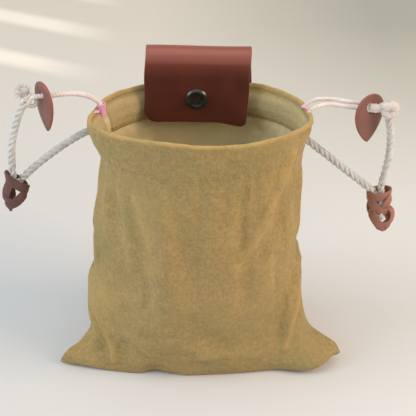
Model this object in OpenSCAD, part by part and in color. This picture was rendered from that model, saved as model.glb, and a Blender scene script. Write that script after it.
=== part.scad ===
// Canvas drawstring treat pouch with a leather belt loop that opens with a snap.
// Millimetres, +Z up, standing on Z = 0. X runs across the pouch, -Y is its front.

/* [Bag] */
// Thickness of the canvas
canvas_t = 1.4; // [1.0:0.1:1.8]
// Depth of the hem round the mouth, from the rim down to its stitching
hem_h = 27; // [24:1:30]
// Room between canvas and hem for the drawstrings, at its widest
channel_gap = 4; // [3.8:0.1:4.4]
// Width of the seam allowances inside the bag
seam_w = 7; // [5:1:9]

/* [Leather holder] */
// Width of the leather strip
strip_w = 80; // [70:1:82]
// Thickness of the leather
leather_t = 2.5; // [2:0.1:2.6]
// Outer radius of the fold at the top
fold_r = 10.9; // [10.8:0.1:11.2]
// Height of the fold's centre
fold_z = 227.5; // [225:0.5:235]
// Bottom edge of the flap
flap_z = 181.5; // [175:0.5:182]
// Radius of the strip's corners
corner_r = 7; // [4:0.5:10]

/* [Snap and rivets] */
// Height of the snap
snap_z = 199.5; // [196:0.5:200]
// Place of the snap across the strip
snap_x = -2.5; // [-4:0.5:4]
// Diameter of the snap cap
cap_d = 16.5; // [14:0.5:18]
// Height of the snap cap's dome
cap_h = 3.8; // [3:0.1:4.5]
// Diameter of the rivet heads
rivet_d = 8; // [6:0.5:9]

/* [Cords and leather trims] */
// Diameter of the drawstrings
string_d = 3.2; // [2.8:0.1:3.4]
// Diameter of the twisted handle ropes
rope_d = 6; // [5:0.5:6.5]
// Thickness of the leaf-shaped toggles
leaf_t = 2.2; // [1.8:0.1:2.6]
// Length of the leaf-shaped toggles
leaf_l = 39; // [36:1:44]
// Width of the leaf-shaped toggles
leaf_w = 28; // [22:1:28]

/* [Hidden] */

canvas_colour = "#A98C55";
inside_colour = "#8D7B4E";
leather_colour = "#5A2A20";
trim_colour = "#95604F";
rope_colour = "#E8E2D4";
thread_colour = "#D9A0A0";
snap_colour = "#2A2A2E";
brass_colour = "#A08548";

front = -1;
back = 1;
left = -1;
right = 1;
eps = 0.01;

// Side seams of the bag, from the ear at the bottom corner up to the rim
left_seam = [[-112, -34, 5], [-106, -32, 14], [-96, -27, 20], [-88, -18, 29], [-89.5, -7, 48],
             [-86, -1, 86], [-81, 0, 122], [-76.5, 0, 152], [-73.5, 0, 174], [-82, 0, 196],
             [-82, 0, 203]];
right_seam = [[112, -28, 9], [107, -25, 17], [98, -22, 21], [86.5, -15, 28], [81, -6, 50],
              [80, 0, 88], [79, 0, 125], [77, 0, 155], [76, 0, 177], [82, 0, 197],
              [82.5, 0, 203.5]];
// Centre lines of the two panels over the same levels, as [y, z]; below zero lies on the floor
front_line = [[-31, -3], [-43, -3], [-48, 4], [-51, 14], [-54, 40], [-57, 82], [-58, 122],
              [-57.5, 154], [-57, 176], [-58.8, 196], [-59, 207]];
back_line = [[-31, -3], [-5, -6], [25, -6], [45, 4], [49.8, 40], [49.8, 84], [49.8, 122],
             [49.8, 154], [49.8, 176], [49.8, 196], [49.8, 207]];
levels = len(left_seam) - 1;
back_y = 49.8;
// The leather holds the back wall flat over this share of its bulge
flat_share = sin(60);
rows = 20;
columns = 24;
hem_rows = 8;
// The hem reaches down over the top level and part of the next one
top_level_h = 11;
next_level_h = 21.33;
hem_levels = 1 + (hem_h - top_level_h) / next_level_h;
lining_t = canvas_t * 0.8;

// Gap between canvas and hem, from the rim down to the stitching, as shares of channel_gap
channel_profile = [0, 0.2, 0.3, 0.75, 1, 1, 0.9, 0.45, 0];
string_v = 0.63;

function spline(p, u) =
    let (n = len(p) - 1, s = min(max(u, 0) * n, n - 0.0001), i = floor(s), f = s - i,
         a = p[max(i - 1, 0)], b = p[i], c = p[i + 1], d = p[min(i + 2, n)])
    0.5 * (2 * b + (c - a) * f + (2 * a - 5 * b + 4 * c - d) * f * f
           + (3 * b - a - 3 * c + d) * f * f * f);

function mix(a, b, s) = a + (b - a) * s;

// The ears at the bottom corners are closed further in than the rest of the seams
ear_inset = 1.4;
ear_levels = 3;

// Point of a panel at level u (0 bottom, 1 rim) and angle q (0 left seam, 180 right seam),
// moved inwards by inset
function bag_point(side, u, q, inset) =
    let (ear = max(0, 1 - u * levels / ear_levels),
         sl = spline(left_seam, u) + [inset * (1 + ear_inset * ear), 0, 0],
         sr = spline(right_seam, u) - [inset * (1 + ear_inset * ear), 0, 0],
         line = spline(side == front ? front_line : back_line, u),
         m = [line[0] - side * inset * (u > 0 ? 1 : 0), line[1] + inset * ear],
         seam = mix(sl, sr, (1 - cos(q)) / 2),
         w = side == front ? sin(q) : min(sin(q), flat_share) / flat_share,
         mid = (sl + sr) / 2)
    [seam[0], seam[1] + (m[0] - mid[1]) * w, max(inset, seam[2] + (m[1] - mid[2]) * w)];

// Closed sheet between two grids of points that have the same rows and columns
module sheet(outer, inner) {
    r = len(outer);
    c = len(outer[0]);
    points = concat([for (line = outer) each line], [for (line = inner) each line]);
    o = r * c;
    function quad(a, b, c2, d) = [[a, b, c2], [a, c2, d]];
    faces = [
        for (i = [0 : r - 2]) for (j = [0 : c - 2])
            each quad(i * c + j, (i + 1) * c + j, (i + 1) * c + j + 1, i * c + j + 1),
        for (i = [0 : r - 2]) for (j = [0 : c - 2])
            each quad(o + i * c + j, o + i * c + j + 1, o + (i + 1) * c + j + 1, o + (i + 1) * c + j),
        for (j = [0 : c - 2])
            each quad(j, j + 1, o + j + 1, o + j),
        for (j = [0 : c - 2])
            each quad((r - 1) * c + j + 1, (r - 1) * c + j, o + (r - 1) * c + j, o + (r - 1) * c + j + 1),
        for (i = [0 : r - 2])
            each quad((i + 1) * c, i * c, o + i * c, o + (i + 1) * c),
        for (i = [0 : r - 2])
            each quad(i * c + c - 1, (i + 1) * c + c - 1, o + (i + 1) * c + c - 1, o + i * c + c - 1)
    ];
    polyhedron(points = points, faces = faces);
}

function panel_grid(side, inset) = [
    for (i = [0 : rows]) [
        for (j = [0 : columns])
            bag_point(side, i / rows, 180 * (side == front ? j : columns - j) / columns, inset)]];

function hem_grid(side, lining) = [
    for (i = [hem_rows : -1 : 0]) [
        for (j = [0 : columns])
            bag_point(side, hem_u(i / hem_rows), 180 * (side == front ? j : columns - j) / columns,
                      canvas_t + channel_gap * spline(channel_profile, i / hem_rows) + lining)]];

// Level of the panel at share v of the way down the hem
function hem_u(v) = 1 - v * hem_levels / levels;

module front_panel() {
    color(canvas_colour) sheet(panel_grid(front, 0), panel_grid(front, canvas_t));
}

module back_panel() {
    color(canvas_colour) difference() {
        sheet(panel_grid(back, 0), panel_grid(back, canvas_t));
        snap_hole();
        rivet_holes(back_y);
    }
}

module front_hem() {
    color(inside_colour) sheet(hem_grid(front, 0), hem_grid(front, lining_t));
}

module back_hem() {
    color(inside_colour) difference() {
        sheet(hem_grid(back, 0), hem_grid(back, lining_t));
        snap_hole();
    }
}

// Moves a part that stands on Z to stand along +Y at a place on the wall
module along_y(x, y, z) {
    translate([x, y, z]) rotate([-90, 0, 0]) children();
}

module rivet_holes(y) {
    for (p = rivet_places)
        along_y(p[0], y, p[1]) cylinder(r = rivet_shank + eps, h = 20, center = true, $fn = 32);
}

module snap_hole() {
    along_y(snap_x, back_y - 12, snap_z) cylinder(r = snap_shank + eps, h = 16, $fn = 32);
}

// Seam allowance: a fin that stands inwards from a line of points
module fin(points, inward, across) {
    n = len(points);
    grid = function(s) [for (p = points) [p + across * s, p + inward + across * s]];
    sheet(grid(-0.5), grid(0.5));
}

// Part of the bag's height where the seam allowance stands free, and its doubled thickness
seam_low = 0.42;
seam_high = 0.80;
seam_t = 1.8;

module side_seam(side) {
    wall = [for (u = [seam_low : 0.04 : seam_high]) bag_point(front, u, side == left ? 0 : 180, canvas_t)];
    fin([for (p = wall) p - [side * 0.05, 0, 0]], [-side * seam_w, 0, 0], [0, -side * seam_t, 0]);
}

module left_side_seam() {
    color(inside_colour) side_seam(left);
}

module right_side_seam() {
    color(inside_colour) side_seam(right);
}

module bottom_seam() {
    seam_half = 78;
    ears = right_seam[0] - left_seam[0];
    color(inside_colour) translate([0, front_line[0][0], canvas_t + 0.1])
        rotate([0, 0, atan(ears[1] / ears[0])])
            translate([-seam_half, -seam_t / 2, 0]) cube([2 * seam_half, seam_t, seam_w]);
}

// Leather holder: side outline in the YZ plane, extruded over the strip's width
flap_front = back_y - 12.6;
fold_y = flap_front + fold_r;
strip_back = fold_y + fold_r;
hinge_gap = 0.3;
strip_low = 130;
rivet_low = 137;
rivet_high = 149;
bend_low = 156;
bend_high = 170;
rivet_x = 28;
rivet_shank = 1.6;
snap_shank = 1.6;
rivet_places = [for (x = [-rivet_x, rivet_x]) for (z = [rivet_low, rivet_high]) [x, z]];

module strip_profile(points) {
    rotate([90, 0, 90]) linear_extrude(height = strip_w, center = true) polygon(points);
}

// Outline of the flat strip seen from the front, with rounded lower corners
module corner_mask(z_low, z_high, w) {
    along_y(0, 0, 0) mirror([0, 1, 0]) linear_extrude(height = 100) union() {
        translate([-w / 2, z_low + corner_r]) square([w, z_high - z_low - corner_r]);
        translate([-w / 2 + corner_r, z_low]) square([w - 2 * corner_r, corner_r + eps]);
        for (s = [-1, 1])
            translate([s * (w / 2 - corner_r), z_low + corner_r]) circle(r = corner_r, $fn = 48);
    }
}

module holder_back() {
    wall = back_y + 0.05;
    color(leather_colour) difference() {
        intersection() {
            union() {
                strip_profile([[wall, strip_low], [wall + leather_t, strip_low],
                               [wall + leather_t, bend_low - 1], [strip_back, bend_high],
                               [strip_back, fold_z], [strip_back - leather_t, fold_z],
                               [strip_back - leather_t, bend_high + 1], [wall, bend_low]]);
                translate([0, fold_y, fold_z]) rotate([0, 90, 0])
                    difference() {
                        cylinder(r = fold_r, h = strip_w, center = true, $fn = 96);
                        cylinder(r = fold_r - leather_t, h = strip_w + 2, center = true, $fn = 96);
                        translate([0, -2 * fold_r, -strip_w]) cube([2 * fold_r, 4 * fold_r, 2 * strip_w]);
                    }
            }
            corner_mask(strip_low, 260, strip_w);
        }
        rivet_holes(wall);
    }
}

module holder_flap() {
    top = fold_z - hinge_gap;
    color(leather_colour) difference() {
        intersection() {
            translate([-strip_w / 2, flap_front, flap_z]) cube([strip_w, leather_t, top - flap_z]);
            corner_mask(flap_z, 260, strip_w);
        }
        along_y(snap_x, flap_front - 1, snap_z) cylinder(r = snap_shank + eps, h = leather_t + 2, $fn = 32);
    }
}

// Rivet heads outside on the leather, with their shanks
module holder_rivets() {
    color(brass_colour) for (p = rivet_places) {
        along_y(p[0], back_y - 2.2, p[1]) cylinder(r = rivet_shank, h = 5, $fn = 32);
        along_y(p[0], back_y + 0.05 + leather_t, p[1]) rivet_head();
    }
}

module rivet_head() {
    rim_h = 0.5;
    rotate_extrude($fn = 48)
        polygon([[0, 0], [rivet_d / 2, 0], [rivet_d / 2, rim_h], [rivet_d / 2 - 1.2, 1.2], [0, 1.5]]);
}

// Washers that the shanks are set on, inside the bag
module rivet_washers() {
    color(brass_colour) for (p = rivet_places)
        along_y(p[0], back_y - canvas_t - 0.83, p[1]) difference() {
            cylinder(d = rivet_d, h = 0.8, $fn = 48);
            translate([0, 0, -1]) cylinder(r = rivet_shank + eps, h = 3, $fn = 32);
        }
}

// Domed cap on the flap's face, with a shallow dish in the middle
module snap_cap() {
    r = cap_d / 2;
    color(snap_colour) translate([snap_x, flap_front, snap_z]) rotate([90, 0, 0]) {
        rotate_extrude($fn = 64) polygon([
            [0, 0], [r, 0], [r, 0.8],
            for (a = [15 : 15 : 75]) [r - 2.6 + 2.6 * cos(a), 0.8 + (cap_h - 0.8) * sin(a)],
            [r - 2.6, cap_h], [r - 4.4, cap_h - 0.5], [0, cap_h - 0.8]]);
        translate([0, 0, -leather_t]) cylinder(r = snap_shank, h = leather_t + eps, $fn = 32);
    }
}

socket_h = 2;
socket_bore = 3.9;
stud_r = 3.1;

// Ring behind the flap that clips over the stud
module snap_socket() {
    color(snap_colour) along_y(snap_x, flap_front + leather_t, snap_z) difference() {
        cylinder(d = 12, h = socket_h, $fn = 64);
        translate([0, 0, 0.5]) cylinder(r = socket_bore, h = socket_h, $fn = 48);
    }
}

stud_base = back_y - 6.1;

// Stud on the hem's inner face
module snap_stud() {
    color(snap_colour) along_y(snap_x, stud_base, snap_z) {
        cylinder(d = 11, h = 0.8, $fn = 64);
        mirror([0, 0, 1]) cylinder(r = stud_r, h = socket_h - 0.6, $fn = 48);
    }
}

// Post that holds the stud, set from outside the bag
module snap_post() {
    color(snap_colour) along_y(snap_x, stud_base + 0.8, snap_z) {
        cylinder(r = snap_shank, h = back_y - stud_base - 0.8 + eps, $fn = 32);
        translate([0, 0, back_y - stud_base - 0.8]) cylinder(d = 10, h = 0.9, $fn = 48);
    }
}

// Tube along a list of points, with a flat end at each end
module tube(path, d, sides) {
    n = len(path);
    dirs = [for (i = [0 : n - 1]) unit(path[min(i + 1, n - 1)] - path[max(i - 1, 0)])];
    rings = [for (i = [0 : n - 1])
        let (v = unit(cross(dirs[i], [0.13, 1, 0.31])), w = cross(dirs[i], v))
        [for (k = [0 : sides - 1])
            let (a = 360 * k / sides)
            path[i] + d / 2 * (cos(a) * v + sin(a) * w)]];
    faces = [
        for (i = [0 : n - 2]) for (k = [0 : sides - 1])
            let (a = i * sides + k, b = i * sides + (k + 1) % sides)
            each [[a, b + sides, b], [a, a + sides, b + sides]],
        [for (k = [0 : sides - 1]) k],
        [for (k = [sides - 1 : -1 : 0]) (n - 1) * sides + k]
    ];
    polyhedron(points = [for (ring = rings) each ring], faces = faces);
}

function unit(v) = v / norm(v);

function offset_route(route, step) = [for (p = route) p + step];

// Drawstrings where they lie in the hem, and their ends up to the rim
exit_y = 18.5;
string_inset = canvas_t + channel_gap / 2;
front_exit_left = [-71.5, exit_y - string_d * 0.55];
rear_exit_left = [-71.5, exit_y + string_d * 0.55];
front_exit_right = [75.3, 7];
rear_exit_right = [73, 16];
function channel_point(side, q) = bag_point(side, hem_u(string_v), q, string_inset);
function exit_stub(place) =
    let (out = [sign(place[0]), 0])
    [concat(place + out * 2, 193), concat(place, 199), concat(place, 202),
     concat(place + out * 1.2, 204.2)];
function reversed(list) = [for (i = [len(list) - 1 : -1 : 0]) list[i]];

module front_drawstring() {
    route = concat(
        reversed(exit_stub(front_exit_left)),
        [channel_point(back, 8)],
        [for (q = [8 : 12 : 172]) channel_point(front, min(q, 172))],
        [channel_point(front, 178)],
        exit_stub(front_exit_right));
    color(rope_colour) tube(route, string_d, 8);
}

module back_drawstring() {
    route = concat(
        reversed(exit_stub(rear_exit_left)),
        [for (q = [30 : 12 : 150]) channel_point(back, q)],
        exit_stub(rear_exit_right));
    color(rope_colour) tube(route, string_d, 8);
}

// Thread ring that edges the slit in the hem where the drawstrings come out
module exit_ring(place, turn, ring_r) {
    color(thread_colour) translate(place) rotate([0, 0, turn]) rotate([0, 90, 0])
        difference() {
            cylinder(r = ring_r + 1, h = 1, center = true, $fn = 48);
            cylinder(r = ring_r, h = 2, center = true, $fn = 48);
        }
}

module left_exit_stitching() {
    exit_ring([-72.6, exit_y, 196], -20, 4);
}

module right_exit_stitching() {
    exit_ring([74.8, 11.5, 196], 12, 6.2);
}

module left_outer_stitching() {
    exit_ring([-75, exit_y, 187], -20, rope_d / 2 + 0.3);
}

module right_outer_stitching() {
    exit_ring([73.8, exit_y, 182], 20, rope_d / 2 + 0.3);
}

// Routes of the loops at the bag's sides; each loop swings about a line through swing_x, swing_y
swing_x = 76.5;
swing_y = 18.5;
left_string_route = [[-77.5, 18.2, 208.8], [-82, 17.6, 211.6], [-88, 16.6, 213.8], [-96, 15.1, 215],
                     [-104, 13.7, 214.9], [-112, 12.2, 215], [-124, 10, 215.2]];
right_string_route = [[90, 14.4, 210], [104, 12.2, 208.7], [118, 10, 207.4], [131, 8, 206.2]];
right_rear_start = [[80.5, 16.2, 208], [84.5, 16.6, 209.8]];
right_front_start = [[82.8, 7.4, 207], [86, 9, 207.8]];
left_pair = [0, 1.8, -0.3];
right_pair = [0, 1.5, 1.5];
left_slide = unit(left_string_route[6] - left_string_route[4]);
right_slide = unit(right_string_route[3] - right_string_route[0]);
left_rope_route = [[-121.5, 8.5, 213.5], [-126.5, 8, 210], [-131.5, 8, 204.5], [-137.5, 8, 194],
                   [-141, 8, 179], [-142.5, 8, 167], [-143, 8, 155]];
right_rope_route = [[140, 8, 199], [142.5, 8, 185], [143, 8, 171], [141.5, 8, 156], [139, 8, 142]];
left_lower_route = [[-137, 8, 147], [-124, 12, 158], [-109, 16, 168.5], [-98, 18, 175.5],
                    [-87, 19, 181.5], [-78, 19.4, 185.5]];
right_lower_route = [[134, 8, 136], [115, 12, 150], [99, 15.5, 162], [88, 18, 170], [77.5, 19.4, 178]];

module left_front_string() {
    color(rope_colour) tube(offset_route(left_string_route, -left_pair), string_d, 8);
}

module left_rear_string() {
    color(rope_colour) tube(offset_route(left_string_route, left_pair), string_d, 8);
}

module right_front_string() {
    route = concat(right_front_start, offset_route(right_string_route, -right_pair));
    color(rope_colour) tube(route, string_d, 8);
}

module right_rear_string() {
    route = concat(right_rear_start, offset_route(right_string_route, right_pair));
    color(rope_colour) tube(route, string_d, 8);
}

// Knot lump: three overlapping balls round the string ends
module knot(centre, r, lean) {
    color(rope_colour) translate(centre) for (s = [-1, 0, 1])
        translate(s * lean) sphere(r = r - abs(s) * 1.2, $fn = 32);
}

module left_knot() {
    knot([-130.5, 12.5, 218.5], 5.2, [-1.5, 0, 2]);
}

module right_knot() {
    knot([139, 8, 205.5], 6.6, [2.4, 0, 1]);
}

module left_upper_rope() {
    color(rope_colour) tube(left_rope_route, rope_d, 8);
}

module right_upper_rope() {
    color(rope_colour) tube(right_rope_route, rope_d, 8);
}

module left_lower_rope() {
    color(rope_colour) tube(left_lower_route, rope_d, 8);
}

module right_lower_rope() {
    color(rope_colour) tube(right_lower_route, rope_d, 8);
}

// Woven leather knot that binds the two rope ends, with its hanging thong ends
module tassel(top, side) {
    ring_r = 6.6;
    thong_r = 2.1;
    rings = [[0, -4, 18], [0.3, -11.3, -16], [1.2, -18.6, 21]];
    color(trim_colour) translate(top) {
        for (g = rings)
            translate([side * g[0], 0, g[1]]) rotate([7, g[2], 0])
                rotate_extrude($fn = 48) translate([ring_r, 0]) circle(r = thong_r, $fn = 24);
        translate([0, 0, -20.4]) cylinder(r = ring_r - 0.7, h = 18.8, $fn = 48);
        translate([side * 1.5, 0, -19]) rotate([0, -side * 12, 0])
            translate([-3, -1.5, -19]) cube([6, 3, 20]);
        translate([-side * 3.5, 0, -19]) translate([-2.5, -1.5, -11]) cube([5, 3, 12]);
    }
}

module left_tassel() {
    tassel([-141.5, 8, 156], left);
}

module right_tassel() {
    tassel([138, 8, 141], right);
}

// Leaf outline with its hole at the origin: a round top and a point below. The width at a share t of
// the way up from the point is t^lower * (1 - t)^upper, scaled so that it reaches leaf_w
module leaf_outline() {
    above = 10.4;
    lower = 0.84;
    upper = 0.5;
    widest = lower / (lower + upper);
    scale_up = leaf_w / 2 / (pow(widest, lower) * pow(1 - widest, upper));
    steps = 40;
    side = [for (i = [0 : steps])
        let (t = (1 - cos(180 * i / steps)) / 2)
        [scale_up * pow(t, lower) * pow(1 - t, upper), above - leaf_l * (1 - t)]];
    mirrored = [for (i = [steps - 1 : -1 : 1]) [-side[i][0], side[i][1]]];
    polygon(concat(side, mirrored));
}

// Leaf at a place on the paired strings: turn is about Z, and the slot follows the strings
module leaf(place, turn, lean, slide, pair) {
    slot_half = norm(pair);
    slot_r = string_d / 2 + 0.5;
    yaw = atan2(slide[1], slide[0]);
    pitch = -asin(slide[2]);
    roll = atan2(pair[2], pair[1]);
    color(trim_colour) difference() {
        translate(place) rotate([0, 0, turn]) rotate([90, lean, 0])
            linear_extrude(height = leaf_t, center = true) leaf_outline();
        translate(place) rotate([0, pitch, yaw]) rotate([roll, 0, 0]) rotate([0, 90, 0]) {
            for (s = [-1, 1])
                translate([0, s * slot_half, 0]) cylinder(r = slot_r, h = 30, center = true, $fn = 32);
            cube([2 * slot_r, 2 * slot_half, 30], center = true);
        }
    }
}

module left_leaf() {
    leaf([-115.9, 11.49, 215.07], -57, -5, -left_slide, left_pair);
}

module right_leaf() {
    leaf([126, 8.77, 206.66], 36, 1, right_slide, right_pair);
}

front_panel();
back_panel();
front_hem();
back_hem();
left_side_seam();
right_side_seam();
bottom_seam();
holder_back();
holder_flap();
holder_rivets();
rivet_washers();
snap_cap();
snap_socket();
snap_stud();
snap_post();
front_drawstring();
back_drawstring();
left_exit_stitching();
right_exit_stitching();
left_outer_stitching();
right_outer_stitching();
left_front_string();
left_rear_string();
right_front_string();
right_rear_string();
left_knot();
right_knot();
left_upper_rope();
right_upper_rope();
left_lower_rope();
right_lower_rope();
left_tassel();
right_tassel();
left_leaf();
right_leaf();
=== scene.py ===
"""Looks of the canvas treat pouch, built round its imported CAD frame. Metres, +Z up, -Y is the front.

The bag is two canvas sheets that are lofted, let down by a cloth simulation and hemmed at the mouth.
A leather strip folds over its back rim, and a rope loop hangs at each side.
"""

import math
import random

import bpy
import numpy as np
from mathutils import Matrix, Vector, noise


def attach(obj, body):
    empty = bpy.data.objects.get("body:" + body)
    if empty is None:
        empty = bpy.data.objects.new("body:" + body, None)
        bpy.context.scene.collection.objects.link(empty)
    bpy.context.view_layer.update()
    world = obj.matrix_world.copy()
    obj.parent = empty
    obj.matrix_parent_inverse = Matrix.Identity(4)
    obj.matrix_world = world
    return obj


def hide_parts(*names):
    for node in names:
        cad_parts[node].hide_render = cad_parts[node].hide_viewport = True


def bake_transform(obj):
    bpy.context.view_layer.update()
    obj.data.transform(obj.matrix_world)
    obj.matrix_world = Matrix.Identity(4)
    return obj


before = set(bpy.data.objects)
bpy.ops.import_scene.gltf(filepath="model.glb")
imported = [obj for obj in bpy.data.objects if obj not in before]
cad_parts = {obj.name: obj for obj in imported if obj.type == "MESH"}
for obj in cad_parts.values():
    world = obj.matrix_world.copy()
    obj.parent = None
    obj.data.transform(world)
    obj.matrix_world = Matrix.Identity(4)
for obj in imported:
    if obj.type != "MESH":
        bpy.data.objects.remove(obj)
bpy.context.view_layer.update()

MM = 0.001
FRONT = -1
BACK = 1
LEFT = -1
RIGHT = 1
SIDE_NAMES = {LEFT: "left", RIGHT: "right"}
PANEL_NAMES = {FRONT: "front", BACK: "back"}
UP = np.array([0, 0, 1.0])


def into_scene(name, data):
    """A new object with this data, placed in the scene."""
    obj = bpy.data.objects.new(name, data)
    bpy.context.scene.collection.objects.link(obj)
    return obj


# ---------------------------------------------------------------- camera

LOOK_AT = Vector((0.006, 0, 0.126))
CAMERA_FAR = 0.8
CAMERA_HIGH = math.radians(30)


def make_camera():
    """The camera of the main view: in front of the pouch and above it."""
    data = bpy.data.cameras.new("camera")
    data.lens = 90
    data.sensor_width = 36
    camera = into_scene("camera", data)
    back = Vector((0, -math.cos(CAMERA_HIGH), math.sin(CAMERA_HIGH)))
    camera.location = LOOK_AT + back * CAMERA_FAR
    camera.rotation_euler = (-back).to_track_quat("-Z", "Y").to_euler()
    bpy.context.scene.camera = camera


make_camera()

# ---------------------------------------------------------------- small helpers


def mm(points):
    """Points given in millimetres, as an array in metres."""
    return np.array(points, float) * MM


def unit(v):
    """The vectors of an array, at length 1."""
    return v / np.maximum(np.linalg.norm(v, axis=-1, keepdims=True), 1e-12)


def smooth(low, high, x):
    """0 below low, 1 above high, and a smooth step between them."""
    t = np.clip((x - low) / (high - low), 0, 1)
    return t * t * (3 - 2 * t)


def hump(x, centre, width):
    """1 at the centre, and a smooth fall to almost 0 at twice the width from it."""
    return np.exp(-(((x - centre) / width) ** 2))


def spline(points, u):
    """The Catmull-Rom curve through the points, at the shares u of its way."""
    p = np.asarray(points, float)
    last = len(p) - 1
    s = np.clip(np.asarray(u, float), 0, 1) * last
    i = np.minimum(s.astype(int), last - 1)
    f = (s - i)[..., None]
    a, b = p[np.maximum(i - 1, 0)], p[i]
    c, d = p[i + 1], p[np.minimum(i + 2, last)]
    return 0.5 * (
        2 * b + (c - a) * f + (2 * a - 5 * b + 4 * c - d) * f**2 + (3 * b - a - 3 * c + d) * f**3
    )


def spaced(line, step):
    """The line again, with points evenly spaced about a step apart."""
    ends = np.linalg.norm(np.diff(line, axis=0), axis=1)
    along = np.concatenate([[0], np.cumsum(ends)])
    at = np.linspace(0, along[-1], max(3, round(along[-1] / step) + 1))
    return np.stack([np.interp(at, along, line[:, k]) for k in range(3)], axis=1)


def curve_through(points, step=0.5 * MM):
    """A smooth evenly spaced path through given points."""
    return spaced(spline(points, np.linspace(0, 1, 60 * len(points))), step)


def closed_curve(points, step):
    """A smooth evenly spaced closed path through points; it doesn't repeat its first point."""
    ring = np.concatenate([points[-1:], points, points[:2]])
    last = len(ring) - 1
    u = np.linspace(1 / last, (last - 1) / last, 60 * len(points))
    return spaced(spline(ring, u), step)[:-1]


def path_length(path):
    """The whole length of a path."""
    return float(np.linalg.norm(np.diff(path, axis=0), axis=1).sum())


def lengths_along(path):
    """How far each point lies along its path."""
    return np.concatenate([[0], np.cumsum(np.linalg.norm(np.diff(path, axis=0), axis=1))])


def frames_along(path, up=(0.1, 1.0, 0.3)):
    """Tangent and two cross directions at each point, carried along without a twist."""
    t = unit(np.gradient(path, axis=0))
    n = np.empty_like(t)
    n[0] = unit(np.cross(t[0], up))
    for i in range(1, len(path)):
        n[i] = unit(n[i - 1] - t[i] * (n[i - 1] @ t[i]))
    return t, n, np.cross(t, n)


class Piece:
    """Collects the points, faces and UVs (in metres) of one mesh."""

    def __init__(self):
        self.points = []
        self.faces = []
        self.uvs = []
        self.wear = []

    def add(self, points, faces, uvs, wear=None):
        """Adds a part whose faces count its own points from 0."""
        first = len(self.points)
        self.points.extend(map(tuple, points))
        self.wear.extend(np.zeros(len(points)) if wear is None else wear)
        self.faces.extend(tuple(first + i for i in face) for face in faces)
        self.uvs.extend(uvs)

    def grid(self, points, uv, wear=None, flip=False):
        """An open sheet of rows and columns of points."""
        r, c = points.shape[:2]
        faces = []
        uvs = []
        flat_uv = uv.reshape(-1, 2)
        for i in range(r - 1):
            for j in range(c - 1):
                quad = [i * c + j, i * c + j + 1, (i + 1) * c + j + 1, (i + 1) * c + j]
                quad = quad[::-1] if flip else quad
                faces.append(quad)
                uvs.append([tuple(flat_uv[k]) for k in quad])
        self.add(points.reshape(-1, 3), faces, uvs, None if wear is None else wear.ravel())

    def shell(self, face_a, face_b, uv, wear=None, wear_and_painted_light_b=None):
        """A closed sheet between two grids of the same size."""
        r, c = face_a.shape[:2]
        first = len(self.points)
        self.grid(face_a, uv, wear)
        self.grid(face_b, uv, wear_and_painted_light_b, flip=True)
        other = r * c
        rim = [(0, j) for j in range(c)] + [(i, c - 1) for i in range(1, r)]
        rim += [(r - 1, j) for j in range(c - 2, -1, -1)] + [(i, 0) for i in range(r - 2, 0, -1)]
        flat_uv = uv.reshape(-1, 2)
        for (i, j), (k, m) in zip(rim, rim[1:] + rim[:1]):
            a, b = i * c + j, k * c + m
            self.faces.append((first + b, first + a, first + other + a, first + other + b))
            self.uvs.append([tuple(flat_uv[n]) for n in (b, a, a, b)])

    def tube(self, rings, along, girth, closed=False):
        """A tube through rings of points; closed joins its last ring to its first."""
        n, k = rings.shape[:2]
        faces = []
        uvs = []
        for i in range(n if closed else n - 1):
            j = (i + 1) % n
            far = along[i + 1] if i + 1 < len(along) else along[i] + along[1] - along[0]
            for m in range(k):
                o = (m + 1) % k
                faces.append((i * k + m, i * k + o, j * k + o, j * k + m))
                a, b = girth * m / k, girth * (m + 1) / k
                uvs.append([(a, along[i]), (b, along[i]), (b, far), (a, far)])
        if not closed:
            for row, turn in ((0, -1), (n - 1, 1)):
                face = [row * k + m for m in range(k)][::turn]
                faces.append(face)
                uvs.append([(girth * m / k, along[row]) for m in range(k)])
        self.add(rings.reshape(-1, 3), faces, uvs)

    def build(self, name, material, body, sharp=None, replaces=()):
        """Makes the Blender object and seats it on its body."""
        data = bpy.data.meshes.new(name)
        data.from_pydata([tuple(p) for p in self.points], [], self.faces)
        layer = data.uv_layers.new(name="UVMap")
        layer.data.foreach_set("uv", np.array([v for uv in self.uvs for v in uv], float).ravel())
        # This attribute holds wear, and painted light: the canvas's paler inside and a painted highlight over
        # the leather's fold
        worn = data.attributes.new("wear", "FLOAT", "POINT")
        worn.data.foreach_set("value", np.array(self.wear, np.float32))
        data.polygons.foreach_set("use_smooth", np.ones(len(data.polygons), bool))
        if sharp:
            data.set_sharp_from_angle(angle=math.radians(sharp))
        data.materials.append(material)
        obj = into_scene(name, data)
        if body:
            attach(obj, body)
        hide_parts(*replaces)
        return obj


def round_rings(path, radius, sides):
    """Round rings along a path; radius is one number or one for each point."""
    _, n, b = frames_along(path)
    turn = 2 * np.pi * np.arange(sides) / sides
    spoke = np.cos(turn)[None, :, None] * n[:, None] + np.sin(turn)[None, :, None] * b[:, None]
    return path[:, None] + np.asarray(radius, float).reshape(-1, 1, 1) * spoke


def add_tube(piece, path, radius, sides=10, taper=0.0):
    """A round tube; taper is the length over which each end is rounded off."""
    r = np.full(len(path), radius, float)
    if taper:
        along = lengths_along(path)
        from_end = np.clip(np.minimum(along, along[-1] - along) / taper, 0.02, 1)
        r = r * np.sqrt(1 - (1 - from_end) ** 2)
    piece.tube(round_rings(path, r, sides), lengths_along(path), 2 * np.pi * radius)


def add_twist(piece, path, diameter, lay, strands=3, sides=9, phase=0.0, fullness=0.5):
    """Twisted strands round a path. lay is the length of one whole turn."""
    _, n, b = frames_along(path)
    strand_r = fullness * diameter / 2
    helix_r = diameter / 2 - strand_r
    along = lengths_along(path)
    for s in range(strands):
        turn = phase + 2 * np.pi * (s / strands + along / lay)
        centre = path + helix_r * (np.cos(turn)[:, None] * n + np.sin(turn)[:, None] * b)
        add_tube(piece, centre, strand_r, sides, taper=strand_r)


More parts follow.
